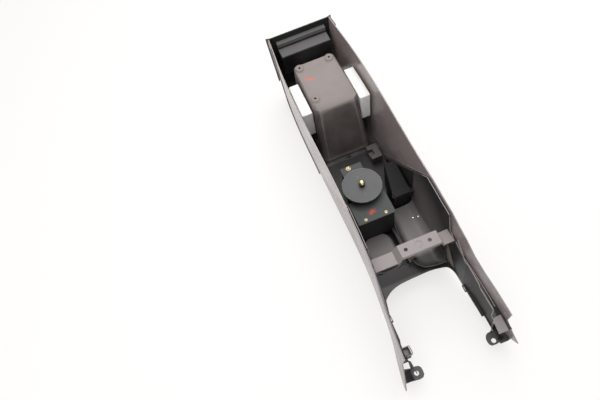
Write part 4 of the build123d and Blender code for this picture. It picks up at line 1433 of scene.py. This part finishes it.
@dataclass(frozen=True)
class Softbox:
    """One square lamp: its place and aim in millimetres, its side in metres, its power in watts."""

    name: str
    place: Spot
    aim: Spot
    side: float
    power: float

    def build(self) -> None:
        """Hangs the lamp and aims it."""
        light = bpy.data.lights.new(self.name, "AREA")
        light.size = self.side
        light.energy = self.power
        lamp = linked(self.name, light)
        lamp.location = point(*self.place)
        lamp.rotation_euler = (point(*self.aim) - lamp.location).to_track_quat("-Z", "Y").to_euler()


@dataclass
class Studio:
    """Pale floor, soft lamps and the camera at the photograph's angle."""

    eye: Spot = (-286.243, -798.199, 1461.070)
    aim_deg: Spot = (30.94407, 8.66753, -20.29489)
    focal_px: float = 574.08
    sight_m: Pair = (0.05, 60.0)
    floor_half: float = 7000.0
    floor_tints: tuple[str, str] = ("#f8f5f3", "#f6efec")
    floor_cloud_mm: float = 900.0
    floor_cloud: float = 0.2
    glow_tint: str = "#fffefd"
    floor_glow: float = 0.7
    sky: str = "#ffffff"
    sky_level: float = 0.45
    lamps: tuple[Softbox, ...] = (
        Softbox("top_softbox", (150, 400, 2400), (0, 60, 100), 2.4, 48.0),
        Softbox("rear_softbox", (900, 2100, 1500), (0, 200, 120), 1.4, 14.0),
        Softbox("front_fill", (-1500, -1900, 1500), (0, -250, 60), 1.8, 16.0))

    def build(self) -> None:
        """Makes the floor, the world, the lamps and the camera."""
        bpy.context.scene.view_settings.view_transform = "Standard"
        self.floor()
        self.world()
        for lamp in self.lamps:
            lamp.build()
        self.camera()

    def floor(self) -> None:
        """A pale seamless floor that keeps the console's soft shadow."""
        half = self.floor_half
        mesh = mesh_of("floor", [(-half, -half, 0), (half, -half, 0), (half, half, 0), (-half, half, 0)],
                       faces=[(0, 1, 2, 3)])
        material, tree, place = new_material("matt_paper_floor")
        cloud = math_of(tree, "MULTIPLY", noise_of(tree, place, self.floor_cloud_mm), self.floor_cloud)
        tint = mixed(tree, cloud, *(linear(code) for code in self.floor_tints))
        paper = add(tree, "ShaderNodeBsdfDiffuse", {"Color": tint})
        glow = add(tree, "ShaderNodeEmission", {"Color": linear(self.glow_tint), "Strength": 1.0})
        share = math_of(tree, "MULTIPLY", self.seen(tree), self.floor_glow)
        blend = add(tree, "ShaderNodeMixShader", {0: share, 1: paper.outputs[0], 2: glow.outputs[0]})
        add(tree, "ShaderNodeOutputMaterial", {"Surface": blend.outputs[0]})
        mesh.materials.append(material)
        linked("floor", mesh)

    def seen(self, tree: Tree) -> Socket:
        """Finds the rays by which the camera sees, straight, mirrored or through something clear.

        Args:
            tree: the material's or world's tree.

        Returns:
            The socket that is 1 for such rays.
        """
        path = add(tree, "ShaderNodeLightPath").outputs
        straight = math_of(tree, "ADD", path["Is Camera Ray"], path["Is Glossy Ray"])
        return math_of(tree, "ADD", straight, path["Is Transmission Ray"])

    def world(self) -> None:
        """White to the camera and to reflections, and a plain soft level elsewhere."""
        world = bpy.data.worlds.new("studio_white")
        bpy.context.scene.world = world
        world.use_nodes = True
        tree = world.node_tree
        tree.nodes.clear()
        level = ranged(tree, self.seen(tree), result=(self.sky_level, 1.0))
        sky = add(tree, "ShaderNodeBackground", {"Color": linear(self.sky), "Strength": level})
        add(tree, "ShaderNodeOutputWorld", {"Surface": sky.outputs[0]})

    def camera(self) -> None:
        """The camera, with no shift and no depth of field."""
        lens = bpy.data.cameras.new("photo_camera")
        lens.sensor_width = SENSOR_MM
        lens.lens = self.focal_px / PHOTO_WIDTH * SENSOR_MM
        lens.clip_start, lens.clip_end = self.sight_m
        camera = linked("photo_camera", lens)
        camera.location = point(*self.eye)
        camera.rotation_euler = Euler([math.radians(a) for a in self.aim_deg], "XYZ")
        bpy.context.scene.camera = camera


def main() -> None:
    """Builds the sub-assemblies in order."""
    logging.basicConfig(level=logging.INFO, format="%(name)s: %(message)s")
    for part in (Studio(), RearEnd(), StorageBin(), ArmrestLid(), FrontMoulding(), RolledRims(), Well(),
                 RotaryDrive(), BesideDrive()):
        LOG.info("building %s", type(part).__name__)
        part.build()


if __name__ == "__main__":
    main()
